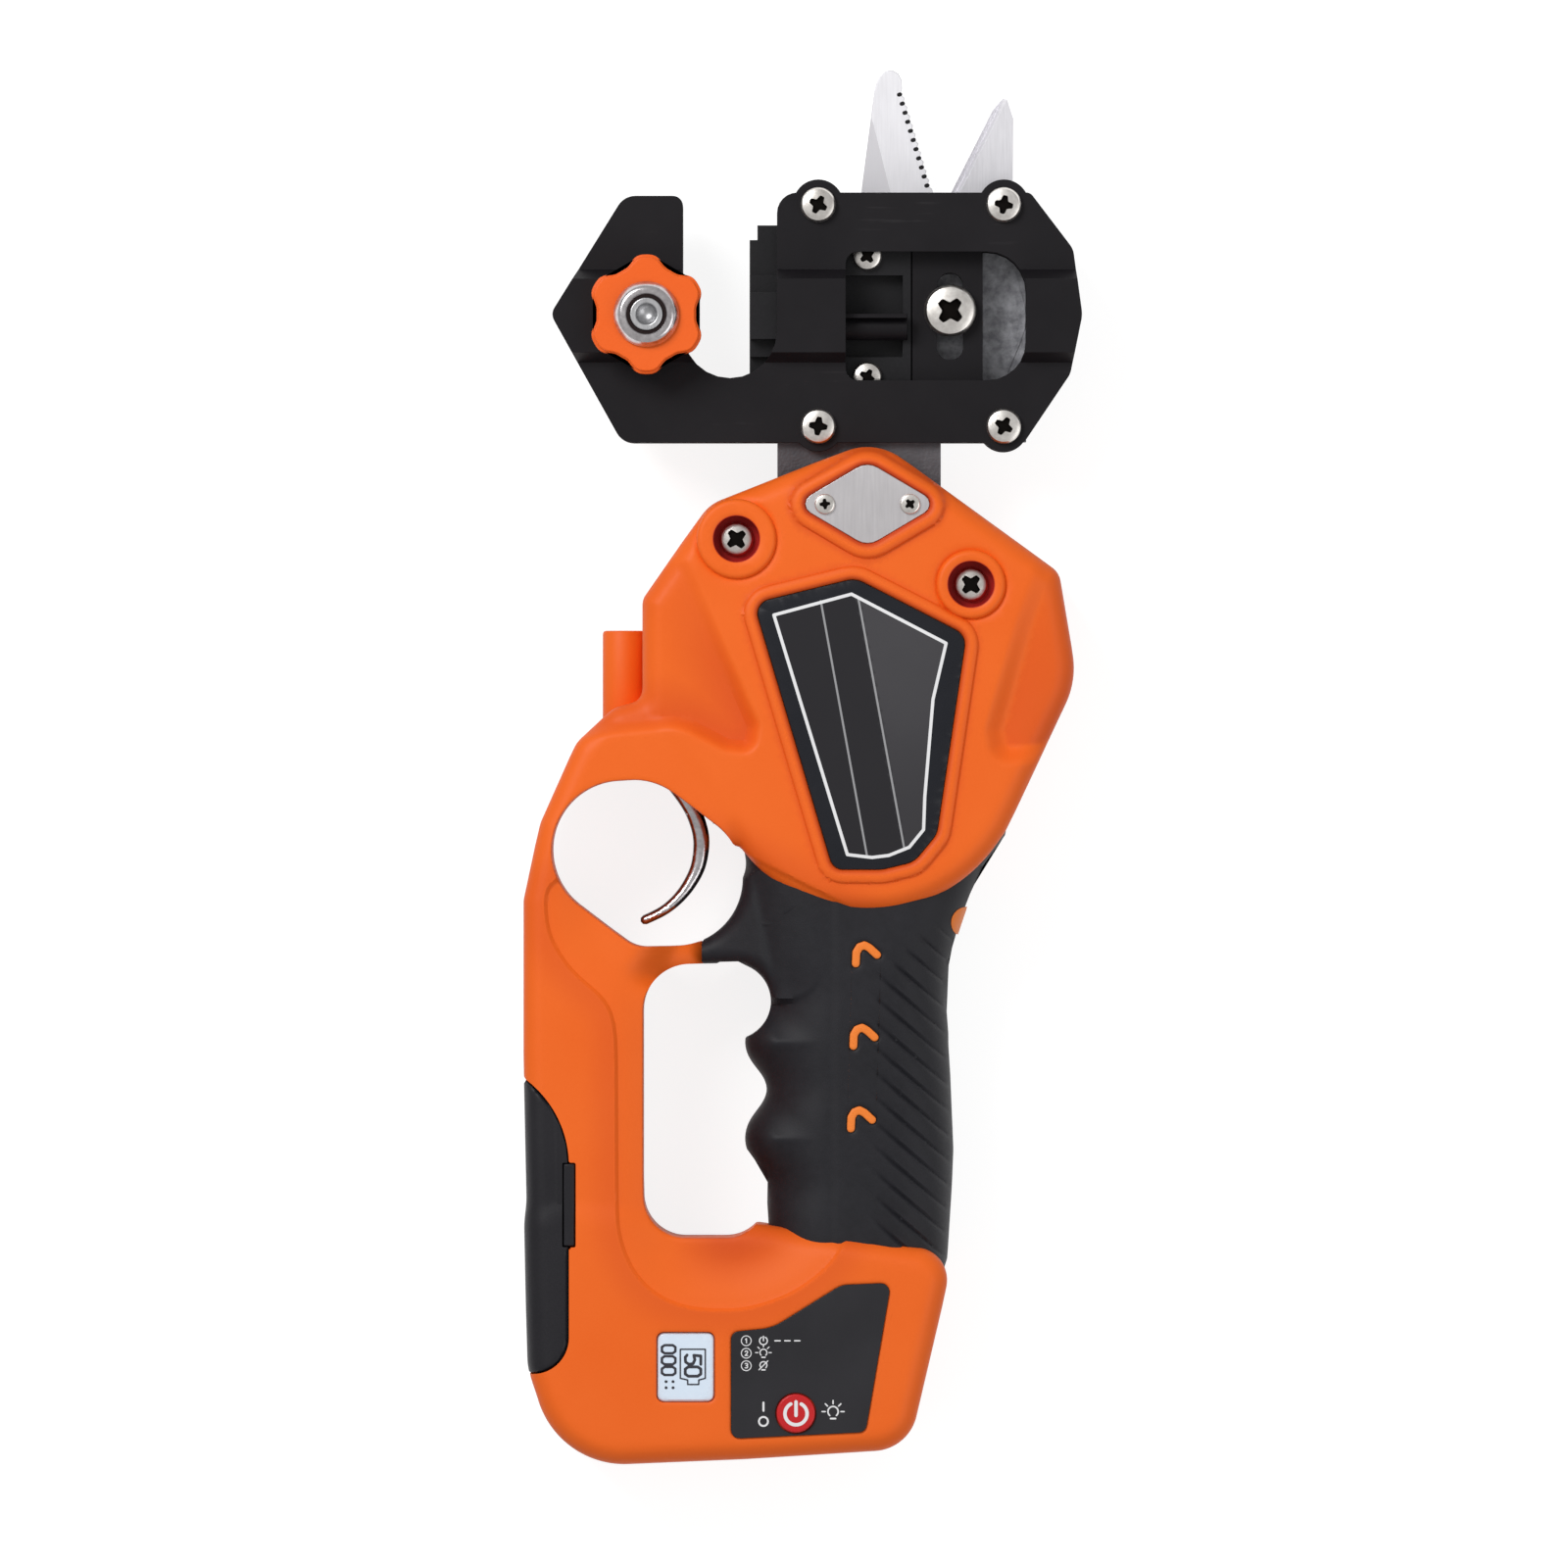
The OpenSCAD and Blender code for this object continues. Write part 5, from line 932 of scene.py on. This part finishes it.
# nodes that are shown as they are
plain = {
    "batteryBlack": ("battery_case",), "cellWrap": ("battery_cells",), "brass": ("battery_contacts",),
    "displayFace": ("lamp_lens",), "whiteNylon": ("lamp_led",), "blackNylon": ("micro_switch",),
    "redPlastic": ("switch_plunger",), "boardGreen": ("circuit_board",), "nickel": ("blade_screw",),
    "drawnSteel": ("bevel_pinion", "pinion_bearing", "gearbox", "motor", "trigger_pin", "trigger_spring"),
}
for mat, nodes in plain.items():
    for node in nodes:
        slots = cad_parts[node].data.materials
        if not slots:
            slots.append(mats[mat])
        for k in range(len(slots)):
            slots[k] = mats[mat]
print("inner pieces painted")


# polished trigger: a bar of rounded section along a curved path, thinner at its tip, with painted shade along its
# edges
bar = {"path": [(-47.8, -67.6), (-45.6, -70.2), (-42.4, -75.0), (-40.3, -81.6), (-41.2, -89.0), (-44.9, -95.2),
                (-49.4, -99.4), (-54.4, -101.6)],
       "wide": 2.0, "tip": 1.2, "taper": (0.35, 1.0), "half": 5.2, "round": 1.7, "dark": 0.85,
       "shadedEdge": (0.25, 0.75)}


def smoothPath(points, spacing=0.4, rounds=60):
    p = np.array(points, float)
    steps = np.concatenate([[0], np.cumsum(np.linalg.norm(np.diff(p, axis=0), axis=1))])
    at = np.linspace(0, steps[-1], int(steps[-1] / spacing))
    path = np.stack([np.interp(at, steps, p[:, k]) for k in (0, 1)], 1)
    for _ in range(rounds):
        path[1:-1] = (path[:-2] + 2 * path[1:-1] + path[2:]) / 4
    return path


barPath = smoothPath(bar["path"])


def barField(p):
    away = np.linalg.norm(p[:, None] - barPath[None], axis=2)
    share = rise(away.argmin(1) / (len(barPath) - 1), *bar["taper"])
    return pathDistance(p, barPath[:-1], barPath[1:]) - (bar["wide"] + (bar["tip"] - bar["wide"]) * share)


# painted shade: the chrome darkens toward the bar's edges, standing in for dark reflections there
def barEdgeShade(p):
    return bar["dark"] * (1 - rise(-barField(p), *bar["shadedEdge"]))


sheet = shellPlan(barField, (-60.0, -106.0), (-34.0, -62.0), (0.12, 0.3, 0.55, 0.85, 1.2), 0.5)
barHeight = flatTop(barField, plan["mid"] + bar["half"], bar["round"])
for name, up, nodes in (("triggerFront", True, ["trigger"]), ("triggerBack", False, [])):
    half = relief(name, "chrome", sheet, barHeight, plan["mid"], up, barEdgeShade)
    settleIn(half, "trigger_lever", "steel", *nodes)

# blades: painted shade darkens the ground bevels against the flats, and the lever's plate fills the window's right
# side
blades = {"bevel": 0.62, "bevelLean": (0.3, 0.994), "inset": 0.25, "edge": 0.3,
          "web": [(29.6, 37.0, 10.8), (29.6, 56.5, 10.8), (20.0, 47.0, 10.0)],
          "sawLow": (16.0, 77.8), "sawHigh": (8.6, 102.4), "teeth": 11, "notch": 1.15, "dot": 1.0}
mesh = broken["fixed_blade"].data
lean = np.array([f.normal.z for f in mesh.polygons])
ground = (lean > blades["bevelLean"][0]) & (lean < blades["bevelLean"][1])
# painted shade: the bevel faces take the blade's darker tint
paintDeep(mesh, "FACE", np.where(ground, blades["bevel"], 0.0))
bladeLow, bladeHigh = (v[2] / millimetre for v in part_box("moving_blade"))


def webField(p):
    return blobDistance(p, blades["web"])


webHeight = flatTop(webField, bladeHigh - blades["inset"], blades["edge"])
sheet = shellPlan(webField, (8.0, 22.0), (44.0, 72.0), (0.1, 0.3, 0.6), 3.0)
settleIn(relief("leverWeb", "grayBlade", sheet, webHeight, bladeLow + blades["inset"]), "lever", "blade_steel")

# flanged nut on the anvil knob: a turned ring with a gap round the bolt, darkened by painted shade
nut = {"place": (-54.0, 46.4, 47.3), "flange": 8.0, "top": 6.9, "gap": 4.85, "bore": 4.12, "rise": 2.95, "floor": 1.0}
flange, top, gap, bore, tall = (nut[key] for key in ("flange", "top", "gap", "bore", "rise"))
ring = [(bore, 0.0), (flange - 0.3, 0.0), (flange, 0.3), (flange, 0.9), (flange - 0.35, 1.4), (top + 0.25, 2.2),
        (top - 0.3, tall - 0.15), (top - 0.8, tall), (gap + 0.35, tall), (gap, tall - 0.3), (gap, nut["floor"]),
        (bore, nut["floor"]), (bore, 0.0)]
knobNut = turned("knobNut", "chrome", ring, nut["place"], (0, 0, 1), 72)
middle = metres(nut["place"])[0]
reach = [math.hypot(v.co.x - middle[0], v.co.y - middle[1]) / millimetre for v in knobNut.data.vertices]
# painted shade: the gap inside the nut takes the chrome's dark tint
paintDeep(knobNut.data, "POINT", np.array(reach) < gap + 0.1)
settleIn(knobNut, "knob", "steel", "knob_nut")


# printed marks and painted shadow dots: strokes traced as a thin raised film
filmLevels = {"thick": 0.05, "proud": 0.05, "gulletShadows": 0.03, "field": 0.03, "fieldFoot": -0.02, "splits": 0.06,
       "outline": 0.07}


def level(z):
    return lambda p: np.full(len(p), z)


def printAndShadowFilm(name, mat, strokes, z, body, slot, step=0.12):
    field = strokeField(strokes)
    ends = np.concatenate([np.array(path, float) for path, _ in strokes])
    reach = max(width for _, width in strokes) + 0.4
    loops = contourLoops(field, tuple(ends.min(0) - reach), tuple(ends.max(0) + reach), step, step * 1.7)
    sheet = triangulate(loops, np.zeros((0, 2)), lambda mid: field(mid) < 0)
    return settleIn(relief(name, mat, sheet, level(z), z - filmLevels["thick"]), body, slot)


def within(key, gap):
    return lambda p: loopDistance(p, frontLoops[key]) + gap


def topOf(node):
    return max(v.co.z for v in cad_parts[node].data.vertices) / millimetre


def arc(x, y, r, start=0, stop=360, count=40):
    return [(x + r * math.cos(t), y + r * math.sin(t)) for t in np.radians(np.linspace(start, stop, count))]


# painted shadow: a dark dot in each gullet of the fixed blade's saw
first, last = np.array(blades["sawLow"]), np.array(blades["sawHigh"])
along = (last - first) / np.linalg.norm(last - first)
inward = np.array([-along[1], along[0]]) * blades["notch"]
gulletShadows = []
for n in range(blades["teeth"]):
    at = first + (last - first) * (n + 0.5) / blades["teeth"] + inward
    gulletShadows.append(([at, at - inward * 0.3], blades["dot"]))
printAndShadowFilm("sawGullets", "shadowBlack", gulletShadows, topOf("fixed_blade") + filmLevels["gulletShadows"], "housing", "blade_steel")

# nameplate: a dark plate with a bare printed field
nameplate = {
    "outline": [(-22.85, -27.1), (-3.9, -22.0), (19.2, -34.0), (16.0, -47.7), (14.0, -71.4), (13.7, -79.5),
                (10.2, -83.8), (5.2, -85.8), (1.1, -86.3), (-4.9, -85.6)],
    "splits": [[(-11.4, -23.7), (-0.1, -86.0)], [(-2.3, -22.7), (9.0, -84.2)]],
    "line": 0.78, "split": 0.5, "gap": 0.08, "edge": 0.3, "foot": 0.88,
    "pale": (0.55, 0.45), "paleTop": (-80.0, -40.0),
}
nameTop = topOf("nameplate")
plateField = within("name", nameplate["gap"])
plateHeight = flatTop(plateField, nameTop, nameplate["edge"])


def darkSide(p):  # the right-hand section is paler, most so at its top
    (x0, y0), (x1, y1) = nameplate["splits"][1]
    lean = (p[:, 0] - x0) * (y1 - y0) - (p[:, 1] - y0) * (x1 - x0)
    least, more = nameplate["pale"]
    return 1 - rise(-lean, -4.0, 8.0) * (least + more * rise(p[:, 1], *nameplate["paleTop"]))


sheet = shellPlan(plateField, (-32.0, -94.0), (28.0, -14.0), (0.08, 0.2, 0.35), 3.0)
settleIn(relief("namePlate", "labelBlack", sheet, plateHeight, plan["top"] - nameplate["foot"]),
         "housing", "dark_plastic", "nameplate")
fieldLoop = resample(np.array(nameplate["outline"], float), 0.8)
loose = thin(gridPoints((-26, -90), (24, -18), 1.2), 0.8)
sheet = triangulate([fieldLoop], loose, lambda mid: loopDistance(mid, fieldLoop) < 0)
nameField = relief("nameField", "labelGray", sheet, level(nameTop + filmLevels["field"]), nameTop + filmLevels["fieldFoot"],
                   True, darkSide)
settleIn(nameField, "housing", "dark_plastic")
outline = nameplate["outline"] + nameplate["outline"][:1]
printAndShadowFilm("nameOutline", "labelWhite", [(outline, nameplate["line"])], nameTop + filmLevels["outline"],
         "housing", "dark_plastic")
splits = [(path, nameplate["split"]) for path in nameplate["splits"]]
printAndShadowFilm("nameSplits", "labelLine", splits, nameTop + filmLevels["splits"], "housing", "dark_plastic")

# display: a raised block with soft edges
screen = {"gap": 0.08, "edge": 0.8, "foot": 2.18}
screenTop = topOf("display")
screenField = within("display", screen["gap"])
screenHeight = flatTop(screenField, screenTop, screen["edge"])
sheet = shellPlan(screenField, (-55.0, -223.0), (-33.0, -198.0), (0.08, 0.2, 0.35, 0.55, 0.8), 1.5)
settleIn(relief("displayBlock", "displayFace", sheet, screenHeight, plan["top"] - screen["foot"]),
         "housing", "display_face", "display")

digits = {
    "0": [(0.0, 0.2), (0.0, 0.8), (0.14, 1.0), (0.46, 1.0), (0.6, 0.8), (0.6, 0.2), (0.46, 0.0), (0.14, 0.0),
          (0.0, 0.2)],
    "1": [(0.08, 0.78), (0.32, 1.0), (0.32, 0.0)],
    "2": [(0.0, 0.8), (0.15, 1.0), (0.45, 1.0), (0.6, 0.8), (0.55, 0.58), (0.0, 0.0), (0.6, 0.0)],
    "3": [(0.0, 0.95), (0.2, 1.0), (0.5, 0.98), (0.6, 0.78), (0.5, 0.56), (0.22, 0.53), (0.5, 0.5), (0.6, 0.25),
          (0.45, 0.02), (0.15, 0.0), (0.0, 0.08)],
    "5": [(0.6, 1.0), (0.06, 1.0), (0.02, 0.55), (0.3, 0.62), (0.56, 0.5), (0.6, 0.25), (0.45, 0.02), (0.15, 0.0),
          (0.0, 0.12)],
}


def digit(mark, x, y, size, width, sideways=False):
    if sideways:
        return [(x + v * size, y - u * size) for u, v in digits[mark]], width
    return [(x + u * size, y + v * size) for u, v in digits[mark]], width


# on the screen: a row of digits with dots, and a charge figure in a battery outline
cell = [(-45.7, -206.4), (-39.6, -206.4), (-39.6, -213.5), (-41.2, -213.9), (-41.2, -215.0), (-43.9, -215.0),
        (-43.9, -213.9), (-45.7, -213.5), (-45.7, -206.4)]
strokes = [digit("0", -50.2, y, 3.3, 0.6, True) for y in (-205.4, -208.1, -210.7)]
strokes += [([(x, y), (x + 0.05, y)], 0.7) for x in (-49.2, -47.5) for y in (-214.3, -215.8)]
strokes += [digit(mark, -44.5, y, 3.8, 0.7, True) for mark, y in (("5", -207.8), ("0", -210.7))]
strokes += [(cell, 0.36)]
printAndShadowFilm("displayMarks", "displayInk", strokes, screenTop + filmLevels["proud"], "housing", "display_face", 0.1)


# pictograms: a switch ring with its stem, and a lamp with or without rays
def switchMark(x, y, r, high, low, width):
    return [(arc(x, y, r, 118, 422), width), ([(x, y + high), (x, y - low)], width)]


def lampMark(x, y, r, foot, widths, rays=None):
    wide, low = foot
    marks = [(arc(x, y, r, -50, 230), widths[0]), ([(x - wide, y - low), (x + wide, y - low)], widths[1])]
    if rays:
        marks += [([(x + q * c, y + q * s) for q in rays], widths[2]) for c, s in directions(8)[:5]]
    return marks


printAndShadowFilm("powerMark", "labelWhite", switchMark(-17.45, -222.1, 2.7, 2.9, 0.4, 0.85),
         topOf("power_button") + filmLevels["proud"], "power_key", "red_plastic", 0.1)

# panel pictograms stand in for the photo's printed words
panel = {"numbers": -29.6, "icons": -25.4, "rows": (-204.3, -207.35, -210.4), "dashes": (-22.6, -20.2, -17.8)}
x, ys = panel["icons"], panel["rows"]
marks = switchMark(x, ys[0], 0.95, 1.1, 0.0, 0.3)
marks += [([(at, ys[0]), (at + 1.3, ys[0])], 0.34) for at in panel["dashes"]]
for mark, y in zip("123", ys):
    marks += [(arc(panel["numbers"], y, 1.2), 0.22), digit(mark, panel["numbers"] - 0.3, y - 0.55, 1.1, 0.26)]
for y, rays in ((ys[1], (1.35, 1.95)), (ys[2], None)):
    marks += lampMark(x, y + 0.15, 0.85, (0.4, 1.15), (0.28, 0.34, 0.26), rays)
marks += [([(x - 1.1, ys[2] - 1.0), (x + 1.1, ys[2] + 1.2)], 0.26)]
marks += [([(x, -219.4), (x, -221.4)], 0.5), (arc(x, -224.0, 1.1), 0.45)]
marks += lampMark(-8.4, -221.6, 1.25, (0.6, 1.7), (0.36, 0.42, 0.34), (1.9, 2.7))
printAndShadowFilm("panelMarks", "labelWhite", marks, topOf("control_panel") + filmLevels["proud"], "housing", "dark_plastic", 0.1)
print("printed marks done")


# cross-recess screws: one head per size, set on its seats by geometry nodes
def screwTree():
    tree = bpy.data.node_groups.new("screwSet", "GeometryNodeTree")
    wanted = {"Geometry": "Geometry", "Head": "Object", "Finish": "Material", "Spin": "Float", "Seed": "Int"}
    for label, kind in wanted.items():
        tree.interface.new_socket(name=label, in_out="INPUT", socket_type="NodeSocket" + kind)
    tree.interface.new_socket(name="Geometry", in_out="OUTPUT", socket_type="NodeSocketGeometry")
    w = Wire(tree)
    given = {s.name: Wire(tree, s) for s in tree.nodes.new("NodeGroupInput").outputs}
    head = w.node("GeometryNodeObjectInfo", {"transform_space": "ORIGINAL"},
                  {"Object": given["Head"], "As Instance": True}, "Geometry")
    turn = w.node("GeometryNodeInputNamedAttribute", {"data_type": "FLOAT_VECTOR"}, {"Name": "turn"})
    facing = w.node("FunctionNodeEulerToRotation", values={0: turn})
    rows = w.node("GeometryNodeInstanceOnPoints", values={
        "Points": given["Geometry"], "Instance": head, "Rotation": facing})
    spin = w.node("FunctionNodeRandomValue", {"data_type": "FLOAT"}, {3: given["Spin"], 8: given["Seed"]}, 1)
    about = w.node("FunctionNodeEulerToRotation", values={0: w.node("ShaderNodeCombineXYZ", values={"Z": spin})})
    rows = w.node("GeometryNodeRotateInstances", values={"Instances": rows, "Rotation": about})
    solid = w.node("GeometryNodeRealizeInstances", values={"Geometry": rows})
    painted = w.node("GeometryNodeSetMaterial", values={"Geometry": solid, "Material": given["Finish"]})
    tree.links.new(painted.socket, tree.nodes.new("NodeGroupOutput").inputs["Geometry"])
    return tree


# shares of the head's radius or height; dark spans the painted shade at the cross recess's wall
headShape = {"arm": 0.24, "waist": 0.4, "soft": 0.05, "crown": 0.22, "rim": 0.3, "rimStart": 0.86, "sink": 0.62,
             "wall": 0.065, "dark": (-0.02, 0.03), "beside": (-0.07, -0.012, 0.012, 0.05),
             "rings": (0.985, 0.95, 0.89, 0.8, 0.7)}


def screwHead(name, r, h, shank, length, cross=0.52):
    k = headShape
    a, b, c, soft = cross * r, k["arm"] * cross * r, k["waist"] * cross * r, k["soft"] * r
    corners = []
    for cs, sn in ((1, 0), (0, 1), (-1, 0), (0, -1)):
        corners += [(x * cs - y * sn, x * sn + y * cs, soft) for x, y in ((a, -b), (a, b), (c, c))]
    recessLoop = roundedLoop(corners, 3)
    centre = np.array([-plan["shiftX"], -plan["shiftY"]])
    circle = directions(56) * r
    loose = beside(recessLoop, 0.07 * r, [g * r for g in k["beside"]])
    loose += [circle * g for g in k["rings"]] + [np.zeros((1, 2))]
    verts, tris = triangulate([circle], np.concatenate(loose), lambda mid: np.hypot(mid[:, 0], mid[:, 1]) < r)

    def height(p):
        q = p - centre
        d = np.hypot(q[:, 0], q[:, 1]) / r
        edge = np.clip((d - k["rimStart"]) / (1 - k["rimStart"]), 0, 1)
        dome = h * (1 - k["crown"] * d ** 2) - k["rim"] * h * edge ** 2
        return dome - k["sink"] * h * rise(-loopDistance(q, recessLoop), 0.0, k["wall"] * r)

    # painted shade: the cross recess takes the nickel's dark tint
    def recess(p):
        return rise(-loopDistance(p - centre, recessLoop), *[g * r for g in k["dark"]])

    made = relief(name, "nickel", (verts + centre, tris), height, 0.0, True, recess)
    thick, deep = shank * millimetre, length * millimetre
    editMesh(made.data, lambda bm: bmesh.ops.create_cone(
        bm, cap_ends=True, segments=40, radius1=thick, radius2=thick, depth=deep,
        matrix=Matrix.Translation((0, 0, -deep / 2))))
    smooth(made.data)
    return made


screws = {
    "shell_screws": {"body": "housing", "spots": [boss[:2] for boss in housing["bosses"]], "seat": 41.8,
                     "head": (4.1, 2.4, 1.8, 10.0, 0.62)},
    "cover_screws": {"body": "housing", "spots": [(-10.4, 0.0), (10.4, 0.0)], "seat": 48.0,
                     "head": (2.5, 1.1, 1.15, 4.0)},
    "plate_screws": {"body": "housing", "spots": [(-12.0, 19.2), (33.4, 19.2), (-12.0, 73.4), (33.4, 73.4)],
                     "seat": 34.0, "head": (4.3, 2.6, 1.9, 6.0)},
    "holder_screws": {"body": "slider", "spots": [(0.0, 61.0), (0.0, 31.4)], "seat": 27.7,
                      "head": (3.6, 2.6, 1.5, 6.0)},
    "drive_screw": {"body": "lever", "spots": [(20.3, 47.6)], "seat": 27.4, "head": (6.4, 4.2, 3.0, 12.1)},
    "back_screws": {"body": "housing", "spots": backScrews["spots"], "seat": backScrews["depth"],
                    "head": (3.0, 2.0, 1.5, 8.0), "tilt": math.pi},
}
screwGroup = screwTree()
for number, (node, s) in enumerate(screws.items()):
    head = screwHead(pieceName(node) + "Head", *s["head"])
    cloud = bpy.data.meshes.new("seats")
    cloud.from_pydata([tuple(v) for v in metres([(x, y, s["seat"]) for x, y in s["spots"]])], [], [])
    turns = np.array([(s.get("tilt", 0.0), 0.0, 0.0)] * len(s["spots"]), np.float32)
    cloud.attributes.new("turn", "FLOAT_VECTOR", "POINT").data.foreach_set("vector", turns.ravel())
    seats = placeObject("seats", cloud)
    setter = seats.modifiers.new("screws", "NODES")
    setter.node_group = screwGroup
    given = {"Head": head, "Finish": mats["nickel"], "Spin": 2 * math.pi, "Seed": 11 + number}
    for item in screwGroup.interface.items_tree:
        if item.in_out == "INPUT" and item.name in given:
            setter[item.identifier] = given[item.name]
    done = evaluated(seats)
    for used in (seats, head):
        bpy.data.objects.remove(used)
    settleIn(showMesh(pieceName(node), done), s["body"], "nickel", node)
print("screws set:", len(screws), "sizes")


# floor, light and camera
studio = {"frameWidth": 0.384, "aim": (-0.00463, -0.00456), "focusHeight": 0.03, "distance": 6.0, "sensor": 36.0,
          "floor": -0.0004, "floorReach": 2.0, "floorGray": 0.32, "floorGlow": 0.84, "world": 0.5,
          "lit": (0, 0, 0.02)}

floorMat = bpy.data.materials.new("paleFloor")
floorMat.use_nodes = True
paper = Wire(floorMat.node_tree)
sheet = floorMat.node_tree.nodes["Principled BSDF"]
for socket, value in (("Roughness", 0.9), ("Specular IOR Level", 0.1), ("Emission Strength", 1.0),
                      ("Base Color", (*[studio["floorGray"]] * 3, 1.0))):
    sheet.inputs[socket].default_value = value
rays = ("Is Camera Ray", "Is Glossy Ray", "Is Transmission Ray")
seen = [paper.node("ShaderNodeLightPath", out=name) for name in rays]
glow = (seen[0] + seen[1] + seen[2]).clamp(0.0, 1.0) * studio["floorGlow"]
floorMat.node_tree.links.new(glow.socket, sheet.inputs["Emission Color"])
floorMesh = bpy.data.meshes.new("floor")
wide = studio["floorReach"]
floorMesh.from_pydata([(x * wide, y * wide, studio["floor"]) for x, y in ((-1, -1), (1, -1), (1, 1), (-1, 1))],
                      [], [(0, 1, 2, 3)])
floorMesh.materials.append(floorMat)
floor = placeObject("floor", floorMesh)

world = bpy.data.worlds.new("studio")
bpy.context.scene.world = world
world.use_nodes = True
world.node_tree.nodes["Background"].inputs["Color"].default_value = (1, 1, 1, 1)
world.node_tree.nodes["Background"].inputs["Strength"].default_value = studio["world"]


def softBox(name, place, size, power):
    light = bpy.data.lights.new(name, "AREA")
    light.shape, light.size, light.size_y, light.energy = "RECTANGLE", size, size, power
    made = placeObject(name, light)
    made.location = place
    made.rotation_mode = "QUATERNION"
    made.rotation_quaternion = (Vector(studio["lit"]) - Vector(place)).to_track_quat("-Z", "Y")


softBox("keyLight", (-0.55, 0.6, 0.95), 0.5, 9.0)
softBox("fillLight", (0.8, -0.3, 0.8), 0.8, 2.6)

camera = bpy.data.cameras.new("photoView")
camera.sensor_width = studio["sensor"]
camera.lens = studio["sensor"] * studio["distance"] / studio["frameWidth"]
cameraObject = placeObject("photoView", camera)
cameraObject.location = (*studio["aim"], studio["focusHeight"] + studio["distance"])
bpy.context.scene.camera = cameraObject
bpy.context.scene.view_settings.view_transform = "Standard"
